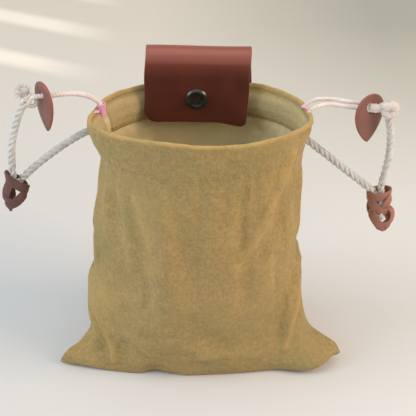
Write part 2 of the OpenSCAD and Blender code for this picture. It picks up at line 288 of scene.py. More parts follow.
def lathe(piece, profile, place, axis, segments=64):
    """Turns a profile of (radius, height) points about an axis through a place."""
    axis = Vector(axis).normalized()
    turn_to = axis.to_track_quat("Z", "Y").to_matrix()
    angles = 2 * np.pi * np.arange(segments) / segments
    rings = []
    for r, h in profile:
        ring = [Vector(place) + turn_to @ Vector((r * math.cos(a), r * math.sin(a), h)) for a in angles]
        rings.append([tuple(p) for p in ring])
    heights = np.arange(len(profile)) * MM
    piece.tube(np.array(rings), heights, 2 * np.pi * max(r for r, _ in profile))


def rounded(corners, radius, steps=5):
    """A profile whose inner corners are rounded by quadratic curves."""
    out = [corners[0]]
    for before, corner, after in zip(corners, corners[1:], corners[2:]):
        a, b, c = (np.array(p, float) for p in (before, corner, after))
        near = min(radius, 0.45 * np.linalg.norm(a - b), 0.45 * np.linalg.norm(c - b))
        start = b + unit(a - b) * near
        end = b + unit(c - b) * near
        for t in np.linspace(0, 1, steps):
            out.append(tuple((1 - t) ** 2 * start + 2 * t * (1 - t) * b + t * t * end))
    return out + [corners[-1]]


# ---------------------------------------------------------------- materials


class Nodes:
    """Short ways to add and join a material's nodes."""

    def __init__(self, name):
        self.material = bpy.data.materials.new(name)
        self.material.use_nodes = True
        self.tree = self.material.node_tree
        self.shader = self.tree.nodes["Principled BSDF"]

    def add(self, kind, inputs=None, **settings):
        """A node; each input is a value, or the socket that it is joined to."""
        node = self.tree.nodes.new(kind)
        for key, value in settings.items():
            setattr(node, key, value)
        for key, value in (inputs or {}).items():
            if isinstance(value, bpy.types.NodeSocket):
                self.tree.links.new(value, node.inputs[key])
            else:
                node.inputs[key].default_value = value
        return node

    def coordinates(self, kind, scale):
        """Coordinates of the mesh, stretched by a scale for each axis."""
        source = self.add("ShaderNodeTexCoord").outputs[kind]
        return self.add("ShaderNodeMapping", {"Vector": source, "Scale": scale}).outputs["Vector"]

    def noise(self, vector, scale, detail=3.0, rough=0.55):
        """Soft noise about 0.5."""
        inputs = {"Vector": vector, "Scale": scale, "Detail": detail, "Roughness": rough}
        return self.add("ShaderNodeTexNoise", inputs).outputs["Fac"]

    def math(self, operation, a, b=0.0):
        """One sum on sockets or numbers."""
        return self.add("ShaderNodeMath", {0: a, 1: b}, operation=operation).outputs[0]

    def ramp(self, factor, low, high):
        """Maps a factor from low..high to 0..1."""
        inputs = {"Value": factor, "From Min": low, "From Max": high}
        return self.add("ShaderNodeMapRange", inputs).outputs["Result"]

    def mix(self, factor, a, b):
        """Colour a where the factor is 0, and colour b where it is 1."""
        node = self.add("ShaderNodeMix", data_type="RGBA", blend_type="MIX")
        for socket, value in ((0, factor), (6, a), (7, b)):
            if isinstance(value, bpy.types.NodeSocket):
                self.tree.links.new(value, node.inputs[socket])
            else:
                node.inputs[socket].default_value = value
        return node.outputs[2]

    def bump(self, height, strength, distance, normal=None):
        """A bumpy normal, laid over another one if it is given."""
        inputs = {"Height": height, "Strength": strength, "Distance": distance}
        if normal:
            inputs["Normal"] = normal
        return self.add("ShaderNodeBump", inputs).outputs["Normal"]

    def dye(self, base, mask, share, code):
        """The base colour with another over it, where the mask shows, up to a share."""
        return self.mix(self.math("MULTIPLY", mask, share), base, colour(code))

    def vary_roughness(self, where, scale, low, high):
        """A roughness that drifts between two values."""
        inputs = {"Value": self.noise(where, scale), "To Min": low, "To Max": high}
        self.link(self.add("ShaderNodeMapRange", inputs).outputs["Result"], "Roughness")

    def link(self, output, name):
        """Joins a socket to one of the shader's inputs."""
        self.tree.links.new(output, self.shader.inputs[name])

    def set(self, **values):
        """Sets the shader's own numbers; an underline stands for a space."""
        for name, value in values.items():
            self.shader.inputs[name.replace("_", " ")].default_value = value


def colour(code):
    """A linear colour from a code such as A98C55."""
    channels = [int(code[i : i + 2], 16) / 255 for i in (0, 2, 4)]
    linear = [c / 12.92 if c <= 0.04045 else ((c + 0.055) / 1.055) ** 2.4 for c in channels]
    return (*linear, 1.0)


def canvas_material(name, main, second, worn, inner):
    """Plain-weave cotton canvas: crossing threads, slubs, cloudy dye, rubbed edges, and painted light that
    makes the inside faces paler.
    """
    thread = 0.85 * MM
    wander = 0.0007
    m = Nodes(name)
    uv = m.coordinates("UV", (1, 1, 1))
    where = m.coordinates("Object", (1, 1, 1))
    wobble = m.add("ShaderNodeTexNoise", {"Vector": uv, "Scale": 260.0, "Detail": 1.0}).outputs["Color"]
    shift = m.add("ShaderNodeVectorMath", {0: wobble, 1: (wander,) * 3}, operation="MULTIPLY").outputs[0]
    bent = m.add("ShaderNodeVectorMath", {0: uv, 1: shift}, operation="ADD").outputs[0]
    parts = m.add("ShaderNodeSeparateXYZ", {0: bent}).outputs
    waves = [m.math("SINE", m.math("MULTIPLY", part, 2 * math.pi / thread)) for part in parts[:2]]
    weave = m.ramp(m.math("MULTIPLY", *waves), -1, 1)
    slubs = [m.noise(m.coordinates("UV", stretch), 1.0) for stretch in ((90, 1100, 1), (1100, 90, 1))]
    slubs = m.ramp(m.math("ADD", *slubs), 0.75, 1.25)
    grain = m.ramp(m.noise(where, 620.0, 2.0), 0.3, 0.7)
    flecks = m.ramp(m.noise(where, 300.0, 3.0, 0.7), 0.45, 0.7)
    clouds = m.ramp(m.noise(where, 28.0), 0.35, 0.66)
    rosy = m.ramp(m.noise(m.coordinates("Object", (1.0, 1.0, 0.6)), 34.0, 2.0), 0.48, 0.7)
    mossy = m.ramp(m.noise(m.coordinates("Object", (1.0, 1.0, 0.7)), 17.0, 2.0), 0.48, 0.7)
    base = m.mix(clouds, colour(main), colour(second))
    base = m.dye(base, rosy, 0.42, "B58C6A")
    base = m.dye(base, slubs, 0.38, "BFA672")
    base = m.dye(base, grain, 0.5, "75663F")
    base = m.dye(base, flecks, 0.5, "C2A56A")
    base = m.dye(base, weave, 0.16, "6E5C33")
    base = m.dye(base, mossy, 0.34, "8C8558")
    state = m.add("ShaderNodeAttribute", attribute_name="wear").outputs["Fac"]
    patchy = m.ramp(m.noise(where, 70.0, 2.0), 0.2, 0.6)
    base = m.mix(m.math("MULTIPLY", m.ramp(state, 0, 1), patchy), base, colour(worn))
    # Painted light: faces with negative values (the bag's inside) are mixed towards the paler inner colour,
    # standing in for light inside the bag
    m.link(m.dye(base, m.ramp(state, 0, -1), 0.8, inner), "Base Color")
    height = m.math("ADD", m.math("MULTIPLY", weave, 0.6), m.math("MULTIPLY", slubs, 0.7))
    fuzz = m.bump(grain, 0.25, 0.3 * MM)
    m.link(m.bump(height, 0.45, 0.35 * MM, fuzz), "Normal")
    m.set(Roughness=0.92, Specular_IOR_Level=0.2)
    m.set(Sheen_Weight=0.25, Sheen_Roughness=0.5, Sheen_Tint=colour("F4E6C0"))
    return m.material


def leather_material(name, main, second, rough, grain_scale, coat):
    """Tanned leather: cloudy dye, fine pores, soft creases, a waxed surface, and a paler colour for worn cut
    edges and, over the fold, partly a painted highlight.
    """
    m = Nodes(name)
    where = m.coordinates("Object", (1, 1, 1))
    clouds = m.ramp(m.noise(where, 55.0, 4.0), 0.35, 0.7)
    specks = m.ramp(m.noise(where, 900.0, 2.0), 0.45, 0.75)
    base = m.mix(clouds, colour(main), colour(second))
    base = m.dye(base, specks, 0.25, main)
    rubbed = m.add("ShaderNodeAttribute", attribute_name="wear").outputs["Fac"]
    # Paler where the attribute says: real wear at cut edges, and over the holder's fold partly a painted
    # highlight
    m.link(m.dye(base, rubbed, 0.6, "A4523C"), "Base Color")
    pores = m.add("ShaderNodeTexVoronoi", {"Vector": where, "Scale": grain_scale}).outputs["Distance"]
    creases = m.noise(where, grain_scale * 0.35, 5.0, 0.6)
    m.vary_roughness(where, 90.0, rough - 0.08, rough + 0.1)
    fine = m.bump(pores, 0.18, 0.18 * MM)
    m.link(m.bump(creases, 0.22, 0.35 * MM, fine), "Normal")
    m.set(Coat_Weight=coat, Coat_Roughness=0.3, Specular_IOR_Level=0.5)
    return m.material


# How far light spreads inside cotton yarn, for red, green and blue
YARN_GLOW = (2 * MM, 1.5 * MM, 1 * MM)


def rope_material(name, main, shade):
    """Cotton yarn: fine fibres that run along the strand, with dustier patches."""
    m = Nodes(name)
    fibres = m.noise(m.coordinates("UV", (2600, 170, 1)), 1.0)
    patches = m.ramp(m.noise(m.coordinates("Object", (1, 1, 1)), 190.0, 2.0), 0.35, 0.7)
    base = m.mix(patches, colour(main), colour(shade))
    base = m.mix(m.ramp(fibres, 0.35, 0.75), base, colour(main))
    m.link(base, "Base Color")
    m.link(m.bump(fibres, 0.5, 0.3 * MM), "Normal")
    m.set(Roughness=0.85, Sheen_Weight=0.35, Sheen_Roughness=0.5)
    m.set(Subsurface_Weight=0.08, Subsurface_Radius=YARN_GLOW)
    return m.material


def knot_material(name, main, shade):
    """Matted cotton: a knot whose fibres have worked loose into a soft pile."""
    m = Nodes(name)
    where = m.coordinates("Object", (1, 1, 1))
    pile = m.ramp(m.noise(where, 900.0, 4.0, 0.7), 0.3, 0.7)
    clumps = m.ramp(m.noise(where, 330.0), 0.35, 0.65)
    base = m.mix(pile, colour(shade), colour(main))
    m.link(m.dye(base, clumps, 0.4, main), "Base Color")
    fine = m.bump(pile, 0.6, 0.35 * MM)
    m.link(m.bump(clumps, 0.7, 0.9 * MM, fine), "Normal")
    m.set(Roughness=0.95, Sheen_Weight=0.5, Sheen_Roughness=0.4)
    m.set(Subsurface_Weight=0.08, Subsurface_Radius=YARN_GLOW)
    return m.material


def metal_material(name, main, worn, rough, metallic, coat=0.0):
    """Plated metal with patches of brushed, rubbed scuffs."""
    m = Nodes(name)
    where = m.coordinates("Object", (1, 1, 1))
    scuffs = m.ramp(m.noise(where, 420.0, 4.0), 0.42, 0.78)
    m.link(m.dye(colour(main), scuffs, 0.5, worn), "Base Color")
    m.vary_roughness(where, 260.0, rough - 0.05, rough + 0.15)
    m.link(m.bump(scuffs, 0.06, 0.1 * MM), "Normal")
    m.set(Metallic=metallic, Specular_IOR_Level=0.6, Coat_Weight=coat, Coat_Roughness=0.08)
    return m.material


# The last colour is painted light: a paler colour for the bag's inside faces
CANVAS = canvas_material("canvas_weave", "AC905F", "998453", "BE9C60", "E0D2A6")
LEATHER = leather_material("holder_leather", "4C1B13", "5A231A", 0.38, 1500.0, 0.5)
TRIM = leather_material("trim_leather", "84564A", "6C443A", 0.52, 1300.0, 0.12)
# Shaded and lit copies of the trim leather: painted shade for the left woven knot and painted light for the
# right one
PAINTED_SHADE_TRIM = leather_material("trim_leather_painted_shade", "704840", "51312C", 0.5, 1300.0, 0.15)
PAINTED_LIGHT_TRIM = leather_material("trim_leather_painted_light", "A26C58", "885544", 0.5, 1300.0, 0.15)
ROPE = rope_material("cotton_rope", "D8D5D0", "B2ACA5")
KNOT = knot_material("cotton_knot", "E4DBD4", "C9BDB5")
CORD = rope_material("cotton_string", "E8DCD4", "D2C2BA")
THREAD = rope_material("pink_thread", "EBB0C8", "DE95B2")
SEWING = rope_material("sewing_thread", "A48C58", "927C4C")
SNAP = metal_material("snap_black", "10120F", "343A33", 0.3, 0.3, 0.8)
BRASS = metal_material("rivet_brass", "8E733A", "B79A5C", 0.34, 1.0)

# ---------------------------------------------------------------- cords

STRING_D = 3.2 * MM
STRING_LAY = 7 * MM
STRING_FULLNESS = 0.56
ROPE_D = 6 * MM
ROPE_LAY = 15 * MM

# Routes in millimetres, close to the CAD source's
ROUTES = {
    "left_string": [
        (-75, 18.3, 206.2), (-77.6, 18.2, 208.8), (-82, 17.6, 211.6), (-88, 16.6, 213.8),
        (-96, 15.1, 215), (-104, 13.7, 214.8), (-112, 12.2, 214.6), (-122.5, 10.3, 214.3),
    ],
    "right_string": [(98.5, 13.2, 209.2), (108, 11.6, 208.3), (118, 10, 207.4), (131, 8, 206.2)],
    "left_upper": [
        (-128.8, 8.2, 211), (-132, 8, 205.5), (-136, 8, 196),
        (-141, 8, 179), (-142.5, 8, 167), (-143, 8, 155),
    ],
    "right_upper": [(140, 8, 199), (142.5, 8, 185), (143, 8, 171), (141.5, 8, 156), (139, 8, 142)],
    "left_lower": [
        (-137, 8, 147), (-124, 12, 158), (-109, 16, 168.5),
        (-98, 18, 175.5), (-87, 19, 181.5), (-78, 19.4, 185.5),
    ],
    "right_lower": [(134, 8, 136), (115, 12, 150), (99, 15.5, 162), (88, 18, 170), (77.5, 19.4, 178)],
}
# Where each string comes up through the slit, and its way over the rim
STUBS = {
    "left_front": [(-73.8, 16.74, 192), (-73, 16.74, 198), (-73.4, 16.74, 203.2)],
    "left_rear": [(-73.8, 20.26, 192), (-73, 20.26, 198), (-73.4, 20.26, 203.2)],
    "right_front": [
        (78.5, 7, 190), (79, 7, 197), (80.3, 7.1, 202.8),
        (82.8, 7.4, 206), (87.3, 8.8, 207.6), (92.5, 10.3, 208.2),
    ],
    "right_rear": [
        (76, 16, 190), (76.4, 16, 197), (77.5, 16, 203),
        (80, 16.2, 206.4), (84, 16.5, 208.8), (88.5, 16, 210.2),
    ],
}
# The left strings run on behind the leaf, down into the end of the thick rope
STRING_ENDS = {LEFT: [(-126.8, 9, 212), (-130.2, 8.4, 208.5)], RIGHT: []}
# How far the rear string of a pair lies from the pair's middle, along its way and at its left end
PAIR = {LEFT: np.array([0, 1.8, -0.3]), RIGHT: np.array([0, 1.5, 1.5])}
END_PAIR = np.array([-1.2, 0.4, 1.5])
# The depth at which cords pass from the bag to the loop
EXIT_Y = 0.0185


def string_route(side, row):
    """The route of one drawstring from its slit to the knot; row -1 is the front one."""
    name = SIDE_NAMES[side]
    stub = STUBS[f"{name}_{'front' if row < 0 else 'rear'}"]
    free = np.array(ROUTES[f"{name}_string"]) + row * PAIR[side]
    end = np.array(STRING_ENDS[side]).reshape(-1, 3) + row * END_PAIR
    return mm(np.concatenate([np.array(stub), free, end]))


def make_cord(name, route, material, diameter, lay, body=None, **twist):
    """A free cord of twisted strands along its route. Returns the piece and its path."""
    path = curve_through(route)
    piece = Piece()
    add_twist(piece, path, diameter, lay, **twist)
    return piece.build(name + "_cord", material, body, replaces=[name]), path


def blend_exit(cord):
    """Bakes the cord's world placement into its mesh."""
    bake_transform(cord)


def make_string(side, row):
    """One drawstring of a pair."""
    name = f"{SIDE_NAMES[side]}_{'front' if row < 0 else 'rear'}_string"
    route = string_route(side, row)
    made = make_cord(name, route, CORD, STRING_D, STRING_LAY, sides=10, phase=row, fullness=STRING_FULLNESS)
    blend_exit(made[0])
    return made


def make_upper_rope(side):
    """The rope from the strings' knot down to the woven knot."""
    name = SIDE_NAMES[side]
    route = mm(ROUTES[name + "_upper"])
    return make_cord(name + "_upper_rope", route, ROPE, ROPE_D, ROPE_LAY, name + "_loop", sides=12)


def make_lower_rope(side):
    """The rope from the woven knot back to the bag."""
    name = SIDE_NAMES[side]
    route = mm(ROUTES[name + "_lower"])
    made = make_cord(name + "_lower_rope", route, ROPE, ROPE_D, ROPE_LAY, sides=12, phase=1.0)
    blend_exit(made[0])
    return made


def thin(path, every=6):
    """A path's points further apart, with both of its ends."""
    return np.concatenate([path[:-1:every], path[-1:]])


strings = {(side, row): make_string(side, row) for side in (LEFT, RIGHT) for row in (-1, 1)}
upper = {side: make_upper_rope(side) for side in (LEFT, RIGHT)}
lower = {side: make_lower_rope(side) for side in (LEFT, RIGHT)}

# ---------------------------------------------------------------- knots that join strings and rope

# Each knot: its centre, the size of its line, how far it is stretched along X, and its strands' thickness
KNOTS = {
    LEFT: {"centre": (-0.1305, 0.0135, 0.2165), "size": 0.95 * MM, "stretch": 1.1, "strand": 4.0 * MM},
    RIGHT: {"centre": (0.1392, 0.008, 0.2056), "size": 1.3 * MM, "stretch": 1.45, "strand": 6.2 * MM},
}


# Lines in millimetres. The pair of strings bound together between the right leaf's hole and the knot
STUB_LINE = [(124.3, 9, 207), (128.5, 8.2, 206.6), (134.5, 8, 206)]
# One more turn round the right knot, which fills it out into a ball
WRAP_LINE = [
    (136.2, 6.2, 205.2), (137.4, 5.4, 202.6), (140.2, 5, 201.8), (143, 5.6, 203.4),
    (143.6, 6.2, 206), (141.8, 6.2, 208.4), (138.2, 6.2, 208),
]
# A small loop of cord that hangs under the left strings
LOOP_LINE = [(-129, 9.8, 209.8), (-126.2, 8.8, 208), (-122.5, 9, 207.8), (-120.5, 10, 210), (-121, 11, 213)]
KNOT_GIRTH = 15 * MM


def overhand(side, scale, stretch):
    """The closed line of an overhand knot, centred on zero."""
    t = np.linspace(0, 2 * np.pi, 240)
    x = np.sin(t) + 2 * np.sin(2 * t)
    z = np.cos(t) - 2 * np.cos(2 * t)
    line = np.stack([x, -1.3 * np.sin(3 * t), z], axis=1)
    return line * scale * np.array([side * stretch, 1, 1])


def add_ring(piece, line, radius):
    """A closed round strand along a line that doesn't repeat its first point."""
    piece.tube(round_rings(line, radius, 16), lengths_along(line), KNOT_GIRTH, closed=True)


def make_knot(side):
    """A tight overhand knot of soft cord, drawn up until its turns touch."""
    name = SIDE_NAMES[side]
    facts = KNOTS[side]
    line = spaced(overhand(side, facts["size"], facts["stretch"]) + np.array(facts["centre"]), 0.5 * MM)
    piece = Piece()
    add_ring(piece, line[:-1], facts["strand"] / 2)
    if side == RIGHT:
        add_tube(piece, curve_through(mm(STUB_LINE)), 3.1 * MM, 18, taper=2 * MM)
        add_ring(piece, closed_curve(mm(WRAP_LINE), 0.5 * MM), 3.0 * MM)
    else:
        add_tube(piece, curve_through(mm(LOOP_LINE)), 1.5 * MM, 12, taper=1 * MM)
    return piece.build(name + "_rope_knot", KNOT, name + "_loop", replaces=[name + "_knot"])


def make_frays(side, centre, out, count, reach):
    """Loose fibres that stand out all round a knot, more of them towards one side."""
    rng = random.Random(11)
    piece = Piece()
    for _ in range(count):
        aim = Vector(out) + Vector([rng.gauss(0, 1) for _ in range(3)]).normalized()
        aim.normalize()
        start = Vector(centre) + aim * reach * 0.35
        bow = Vector([rng.uniform(-1.2, 1.2) * MM for _ in range(3)])
        size = reach * rng.uniform(0.35, 0.65)
        line = [start, start + aim * size * 0.5 + bow, start + aim * size + bow * 1.5]
        path = curve_through([tuple(p) for p in line], 0.9 * MM)
        add_tube(piece, path, rng.uniform(0.10, 0.2) * MM, 4, taper=1.5 * MM)
    name = SIDE_NAMES[side]
    return piece.build(name + "_knot_frays", KNOT, name + "_loop")


knots = {side: make_knot(side) for side in (LEFT, RIGHT)}
make_frays(LEFT, KNOTS[LEFT]["centre"], (-0.2, 0.1, 0.2), 170, 7.5 * MM)
make_frays(RIGHT, KNOTS[RIGHT]["centre"], (0.3, 0.1, 0.0), 70, 8.0 * MM)

# ---------------------------------------------------------------- leather leaves

LEAF_LENGTH = 39 * MM
LEAF_WIDTH = 28 * MM
LEAF_ABOVE = 10.4 * MM
# The width at a share t of the way up from the point goes as t^0.84 * (1 - t)^0.5
LEAF_POWERS = (0.84, 0.5)
LEAF_THICK = 2.2 * MM
LEAF_SPOKES = 96
LEAF = {
    # place, turn, lean as in the CAD source; hole is the slot's half sizes, and tilt its slope
    LEFT: {
        "place": (-0.1159, 0.01149, 0.21507), "turn": -57, "lean": -5,
        "hole": (3.9, 2.3), "tilt": 12, "bow": -0.06,
    },
    RIGHT: {
        "place": (0.126, 0.00877, 0.20666), "turn": 36, "lean": 1,
        "hole": (4.8, 3.4), "tilt": -35, "bow": -0.05,
    },
}


def leaf_outline():
    """The leaf's outline about its hole, as angles and distances."""
    lower, upper = LEAF_POWERS
    t = (1 - np.cos(np.linspace(0, np.pi, 200))) / 2
    width = t**lower * (1 - t) ** upper
    widest = lower / (lower + upper)
    x = LEAF_WIDTH / 2 * width / (widest**lower * (1 - widest) ** upper)
    y = LEAF_ABOVE - LEAF_LENGTH * (1 - t)
    angle = np.arctan2(y, x)
    return angle, np.hypot(x, y)


def leaf_radius(angle):
    """Distance from the leaf's hole to its outline, in a direction."""
    if math.cos(angle) < 0:
        angle = math.pi - angle
    angle = (angle + math.pi) % (2 * math.pi) - math.pi
    return float(np.interp(angle, *leaf_outline()))


def leaf_matrix(side):
    """From the leaf's own plane, with its hole at the origin, to its place on the strings."""
    facts = LEAF[side]
    matrix = Matrix.Translation(facts["place"])
    for angle, axis in ((facts["turn"], "Z"), (facts["lean"], "Y"), (90, "X")):
        matrix = matrix @ Matrix.Rotation(math.radians(angle), 4, axis)
    return matrix


def leaf_line(bevel):
    """One spoke's closed section, as (share from hole to edge, inset, height) steps."""
    half = LEAF_THICK / 2
    inside = np.linspace(0.06, 0.94, 7)
    turn = 0.5
    out = [(s, 0, half) for s in inside]
    for share, way, count in ((1, -1, 5), (0, 1, 4)):
        for a in np.linspace(turn, math.pi - turn, count):
            out.append((share, way * bevel * (1 - math.sin(a)), -way * half * math.cos(a)))
        if share == 1:
            out += [(s, 0, -half) for s in inside[::-1]]
    return out


def slot_radius(half_sizes, angle):
    """Distance from the middle of an oval slot to its edge."""
    a, b = half_sizes
    return a * b * MM / math.hypot(b * math.cos(angle), a * math.sin(angle))


def make_leaf(side):
    """A thick leaf: one closed section at each spoke round its slot, bowed a little."""
    facts = LEAF[side]
    section = leaf_line(0.7 * MM)
    matrix = leaf_matrix(side)
    rings = []
    for a in 2 * math.pi * np.arange(LEAF_SPOKES) / LEAF_SPOKES - math.pi / 2:
        inner = slot_radius(facts["hole"], a - math.radians(facts["tilt"]))
        outer = leaf_radius(a)
        ring = []
        for share, inset, height in section:
            r = inner + (outer - inner) * share + inset
            x, y = r * math.cos(a), r * math.sin(a)
            bow = facts["bow"] * (2 * x * x / LEAF_WIDTH + y * y / LEAF_LENGTH)
            ring.append(tuple(matrix @ Vector((x, y, height + bow))))
        rings.append(ring)
    piece = Piece()
    piece.tube(np.array(rings), np.arange(LEAF_SPOKES) * MM, 40 * MM, closed=True)
    piece.wear = [1.0 if share in (0, 1) else 0.0 for share, _, _ in section] * LEAF_SPOKES
    name = SIDE_NAMES[side]
    return piece.build(name + "_leather_leaf", TRIM, name + "_toggle", sharp=60,
                       replaces=[name + "_leaf"])


for side in (LEFT, RIGHT):
    make_leaf(side)

# ---------------------------------------------------------------- woven leather knots

THONG_T = 1.5 * MM
# How strongly each direction away from the centre line turns a thong's face
FACING = np.array([1, 2.4, 0.15])
# The left knot takes the painted-shade copy and the right knot the painted-light copy of the trim leather
KNOT_LEATHER = {LEFT: PAINTED_SHADE_TRIM, RIGHT: PAINTED_LIGHT_TRIM}
TASSEL_TOP = {LEFT: (-0.1415, 0.008, 0.156), RIGHT: (0.138, 0.008, 0.141)}


def strap_rings(path, outward, width):
    """A flat thong along a path, its face turned outward; width has one number for each point."""
    t = unit(np.gradient(path, axis=0))
    face = unit(outward - t * (outward * t).sum(1, keepdims=True))
    across = np.cross(t, face)
    w, h = width.reshape(-1, 1) / 2, THONG_T / 2
    turns = np.radians([0, 35, 90, 90, 145, 180, 215, 270, 270, 325])
    xs = [w, w - 0.1 * h, w - h, h - w, 0.1 * h - w, -w, 0.1 * h - w, h - w, w - h, w - 0.1 * h]
    ys = [h * math.sin(a) for a in turns]
    return np.stack([path + x * across + y * face for x, y in zip(xs, ys)], axis=1)


def add_strap(piece, points, centre, width, closed=False):
    """One thong through given points (millimetres from the knot's top), facing away from a centre line."""
    top = np.array(centre)
    line = np.array(points, float) * MM + top
    path = closed_curve(line, 0.6 * MM) if closed else curve_through(line, 0.6 * MM)
    outward = (path - top) * FACING
    along = lengths_along(path)
    narrow = 0 if closed else 0.6 * smooth(along[-1] - 5 * MM, along[-1], along)
    rings = strap_rings(path, unit(outward), width * (1 - narrow) * np.ones(len(path)))
    piece.tube(rings, along, 2 * (width + THONG_T), closed=closed)


def band(radius, depth, height, tilt, side, shift=0.0):
    """A closed band round the ropes: radius along X, depth along Y, and a tilt across X."""
    turns = np.radians(np.arange(0, 360, 30))
    rise = math.tan(math.radians(tilt))
    return [
        (side * (shift + radius * math.cos(a)), depth * math.sin(a), height + radius * math.cos(a) * rise)
        for a in turns
    ]


# Thongs of each knot, as (width, closed, points): x to the outside, y to the back, z up from the knot's top
THONGS = {
    RIGHT: [
        (6.6, True, band(8.8, 6.4, -6.5, 10, RIGHT)),
        (7.2, True, band(7.2, 6.2, -19, -14, RIGHT, 0.8)),
        (6.4, False, [
            (8.2, 0, -5), (8, -3.5, -7), (6.6, -6, -10), (4.4, -6.8, -13.2), (2.4, -5.5, -17),
        ]),
        (7, False, [
            (-8.4, -1, -8.5), (-6.4, -4.8, -11), (-3.6, -6.6, -14.5), (-0.8, -6, -17.5),
            (3, -4, -20),
        ]),
        (7, False, [
            (-6, -2, -19), (-4.8, -5.4, -22), (-2.2, -6.6, -26.5), (1, -6.6, -31), (5, -5.8, -36.5),
        ]),
        (5, False, [
            (7.6, -2, -17.2), (10.4, -4, -19.6), (11, -5, -24.6), (9, -6.2, -28.8),
            (5.2, -6.8, -30.6), (0.5, -5.6, -30.4),
        ]),
        (5.6, False, [(6, -4.4, -28), (8, -4.6, -31), (7.8, -4.8, -33.5), (5.8, -5, -36.8)]),
        (6, False, [
            (8, 4, -9), (3, 7.2, -12), (-4, 6.6, -17), (-5.5, 3, -22), (-2, 1, -27), (4, -1, -33),
        ]),
        (8, False, [(-7, 4, -9), (-2, 7, -14), (5, 6.6, -19), (8.6, 2.5, -25), (8, -1, -32)]),
    ],
    LEFT: [
        (7.4, False, [
            (6.2, 2, -6), (6.4, -2.5, -5.4), (3, -6, -7), (-2, -6.6, -10.6), (-6.4, -5, -14.4),
            (-9, -1.5, -17), (-8.4, 2.5, -18.4),
        ]),
        (5.6, False, [
            (6.8, 1, -5.6), (5, 5.2, -8), (-1, 6.8, -12.4), (-6, 5, -16.4), (-8.6, 0.5, -18.4),
        ]),
        (8, False, [
            (-8.4, 0, -17.6), (-6.4, -4, -19.8), (-3, -6, -23.2), (0.6, -6.4, -26.2),
            (4.4, -6, -28.2), (7.8, -4.8, -28.4),
        ]),
        (6.8, False, [
            (1, -3.6, -6.4), (3.4, -5.2, -9.6), (5.6, -5.4, -13.9), (7.2, -5, -18.5),
            (7.6, -4.6, -24), (6.4, -4, -28.4),
        ]),
        (5.8, False, [(9.2, -4, -22.8), (6, -6.6, -24.2), (1, -7, -25.8), (-2.8, -5.8, -25)]),
        (5.6, False, [(0.6, -5.6, -26), (3.6, -6.4, -28.4), (4.8, -6, -31), (4.9, -5.4, -33.8)]),
        (5, False, [(8, -3.6, -26.5), (7, -4.6, -30), (5.2, -4.8, -33.2)]),
        (7, False, [(4.5, 3, -9), (5.5, 4, -15), (5, 3.5, -22), (3.5, 0, -28)]),
    ],
}
# Points for the ropes' ends inside each knot
ROPE_ENDS = {
    RIGHT: [
        [(1, 0, 1), (1.2, -2, -7), (1.4, -3.4, -13), (1.9, -3.8, -20), (2.6, -4.2, -27)],
        [(-4, 0, -5), (-1.5, 1, -11), (1, 1.5, -19)],
    ],
    LEFT: [[(1.5, 0, -1), (1.2, -1, -6), (1.2, -1.5, -11)], [(-4.5, 0, -9), (-2, -0.5, -12), (0, -1, -14.5)]],
}


def make_tassel(side):
    """The woven leather knot of one side, with its hanging ends."""
    name = SIDE_NAMES[side]
    top = TASSEL_TOP[side]
    piece = Piece()
    for width, closed, points in THONGS[side]:
        mirrored = points if closed else [(side * x, y, z) for x, y, z in points]
        add_strap(piece, mirrored, top, width * MM, closed)
    return piece.build(name + "_woven_knot", KNOT_LEATHER[side], name + "_loop", sharp=50,
                       replaces=[name + "_tassel"])


def make_rope_ends(side):
    """The ends of both handle ropes where they run down inside the woven knot."""
    name = SIDE_NAMES[side]
    piece = Piece()
    for points in ROPE_ENDS[side]:
        mirror = np.array([side, 1, 1])
        path = curve_through(np.array(points, float) * MM * mirror + np.array(TASSEL_TOP[side]))
        add_twist(piece, path, 5.6 * MM, ROPE_LAY)
    return piece.build(name + "_rope_ends", ROPE, name + "_loop")


tassels = {side: make_tassel(side) for side in (LEFT, RIGHT)}
rope_ends = {side: make_rope_ends(side) for side in (LEFT, RIGHT)}


# ---------------------------------------------------------------- canvas bag: its surface, in millimetres

# Side seams from the ear at the bottom corner up to the rim
LEFT_SEAM = [(-112, -34, 5), (-106, -32, 14), (-96, -27, 20), (-88, -18, 29), (-89.5, -7, 48), (-86, -1, 86),
             (-81, 0, 122), (-76.5, 0, 152), (-73.5, 0, 174), (-82, 0, 196), (-82, 0, 203)]
RIGHT_SEAM = [(112, -28, 9), (107, -25, 17), (98, -22, 21), (86.5, -15, 28), (81, -6, 50), (80, 0, 88),
              (79, 0, 125), (77, 0, 155), (76, 0, 177), (82, 0, 197), (82.5, 0, 203.5)]
# Centre lines of the two panels over the same levels, as (y, z)
CENTRE = {
    FRONT: [(-31, -3), (-43, -3), (-48, 4), (-51, 14), (-54, 40), (-57, 82), (-58, 122), (-57.5, 154),
            (-57, 176), (-58.8, 196), (-59, 207)],
    BACK: [(-31, -3), (-5, -6), (25, -6), (45, 4), (49.8, 40), (49.8, 84), (49.8, 122), (49.8, 154),
           (49.8, 176), (49.8, 196), (49.8, 207)],
}
LEVELS = 10
FLAT_SHARE = math.sin(math.radians(60))
CANVAS_T = 1.4
LINING_T = 1.1
# Where a crease would turn the cloth's inner face through the outer one, this much stays between them
THINNEST = 0.9
CHANNEL_GAP = 4.0
STRING_INSET = 1.8
CHANNEL_PROFILE = [0.05, 0.3, 0.5, 0.8, 1, 1, 0.9, 0.45, 0]
HEM_LEVELS = 1.75
RIM_ROLL = 2.0
WALL_ROWS = 116
ROLL_ROWS = 10
HEM_ROWS = 26
COLUMNS = 132


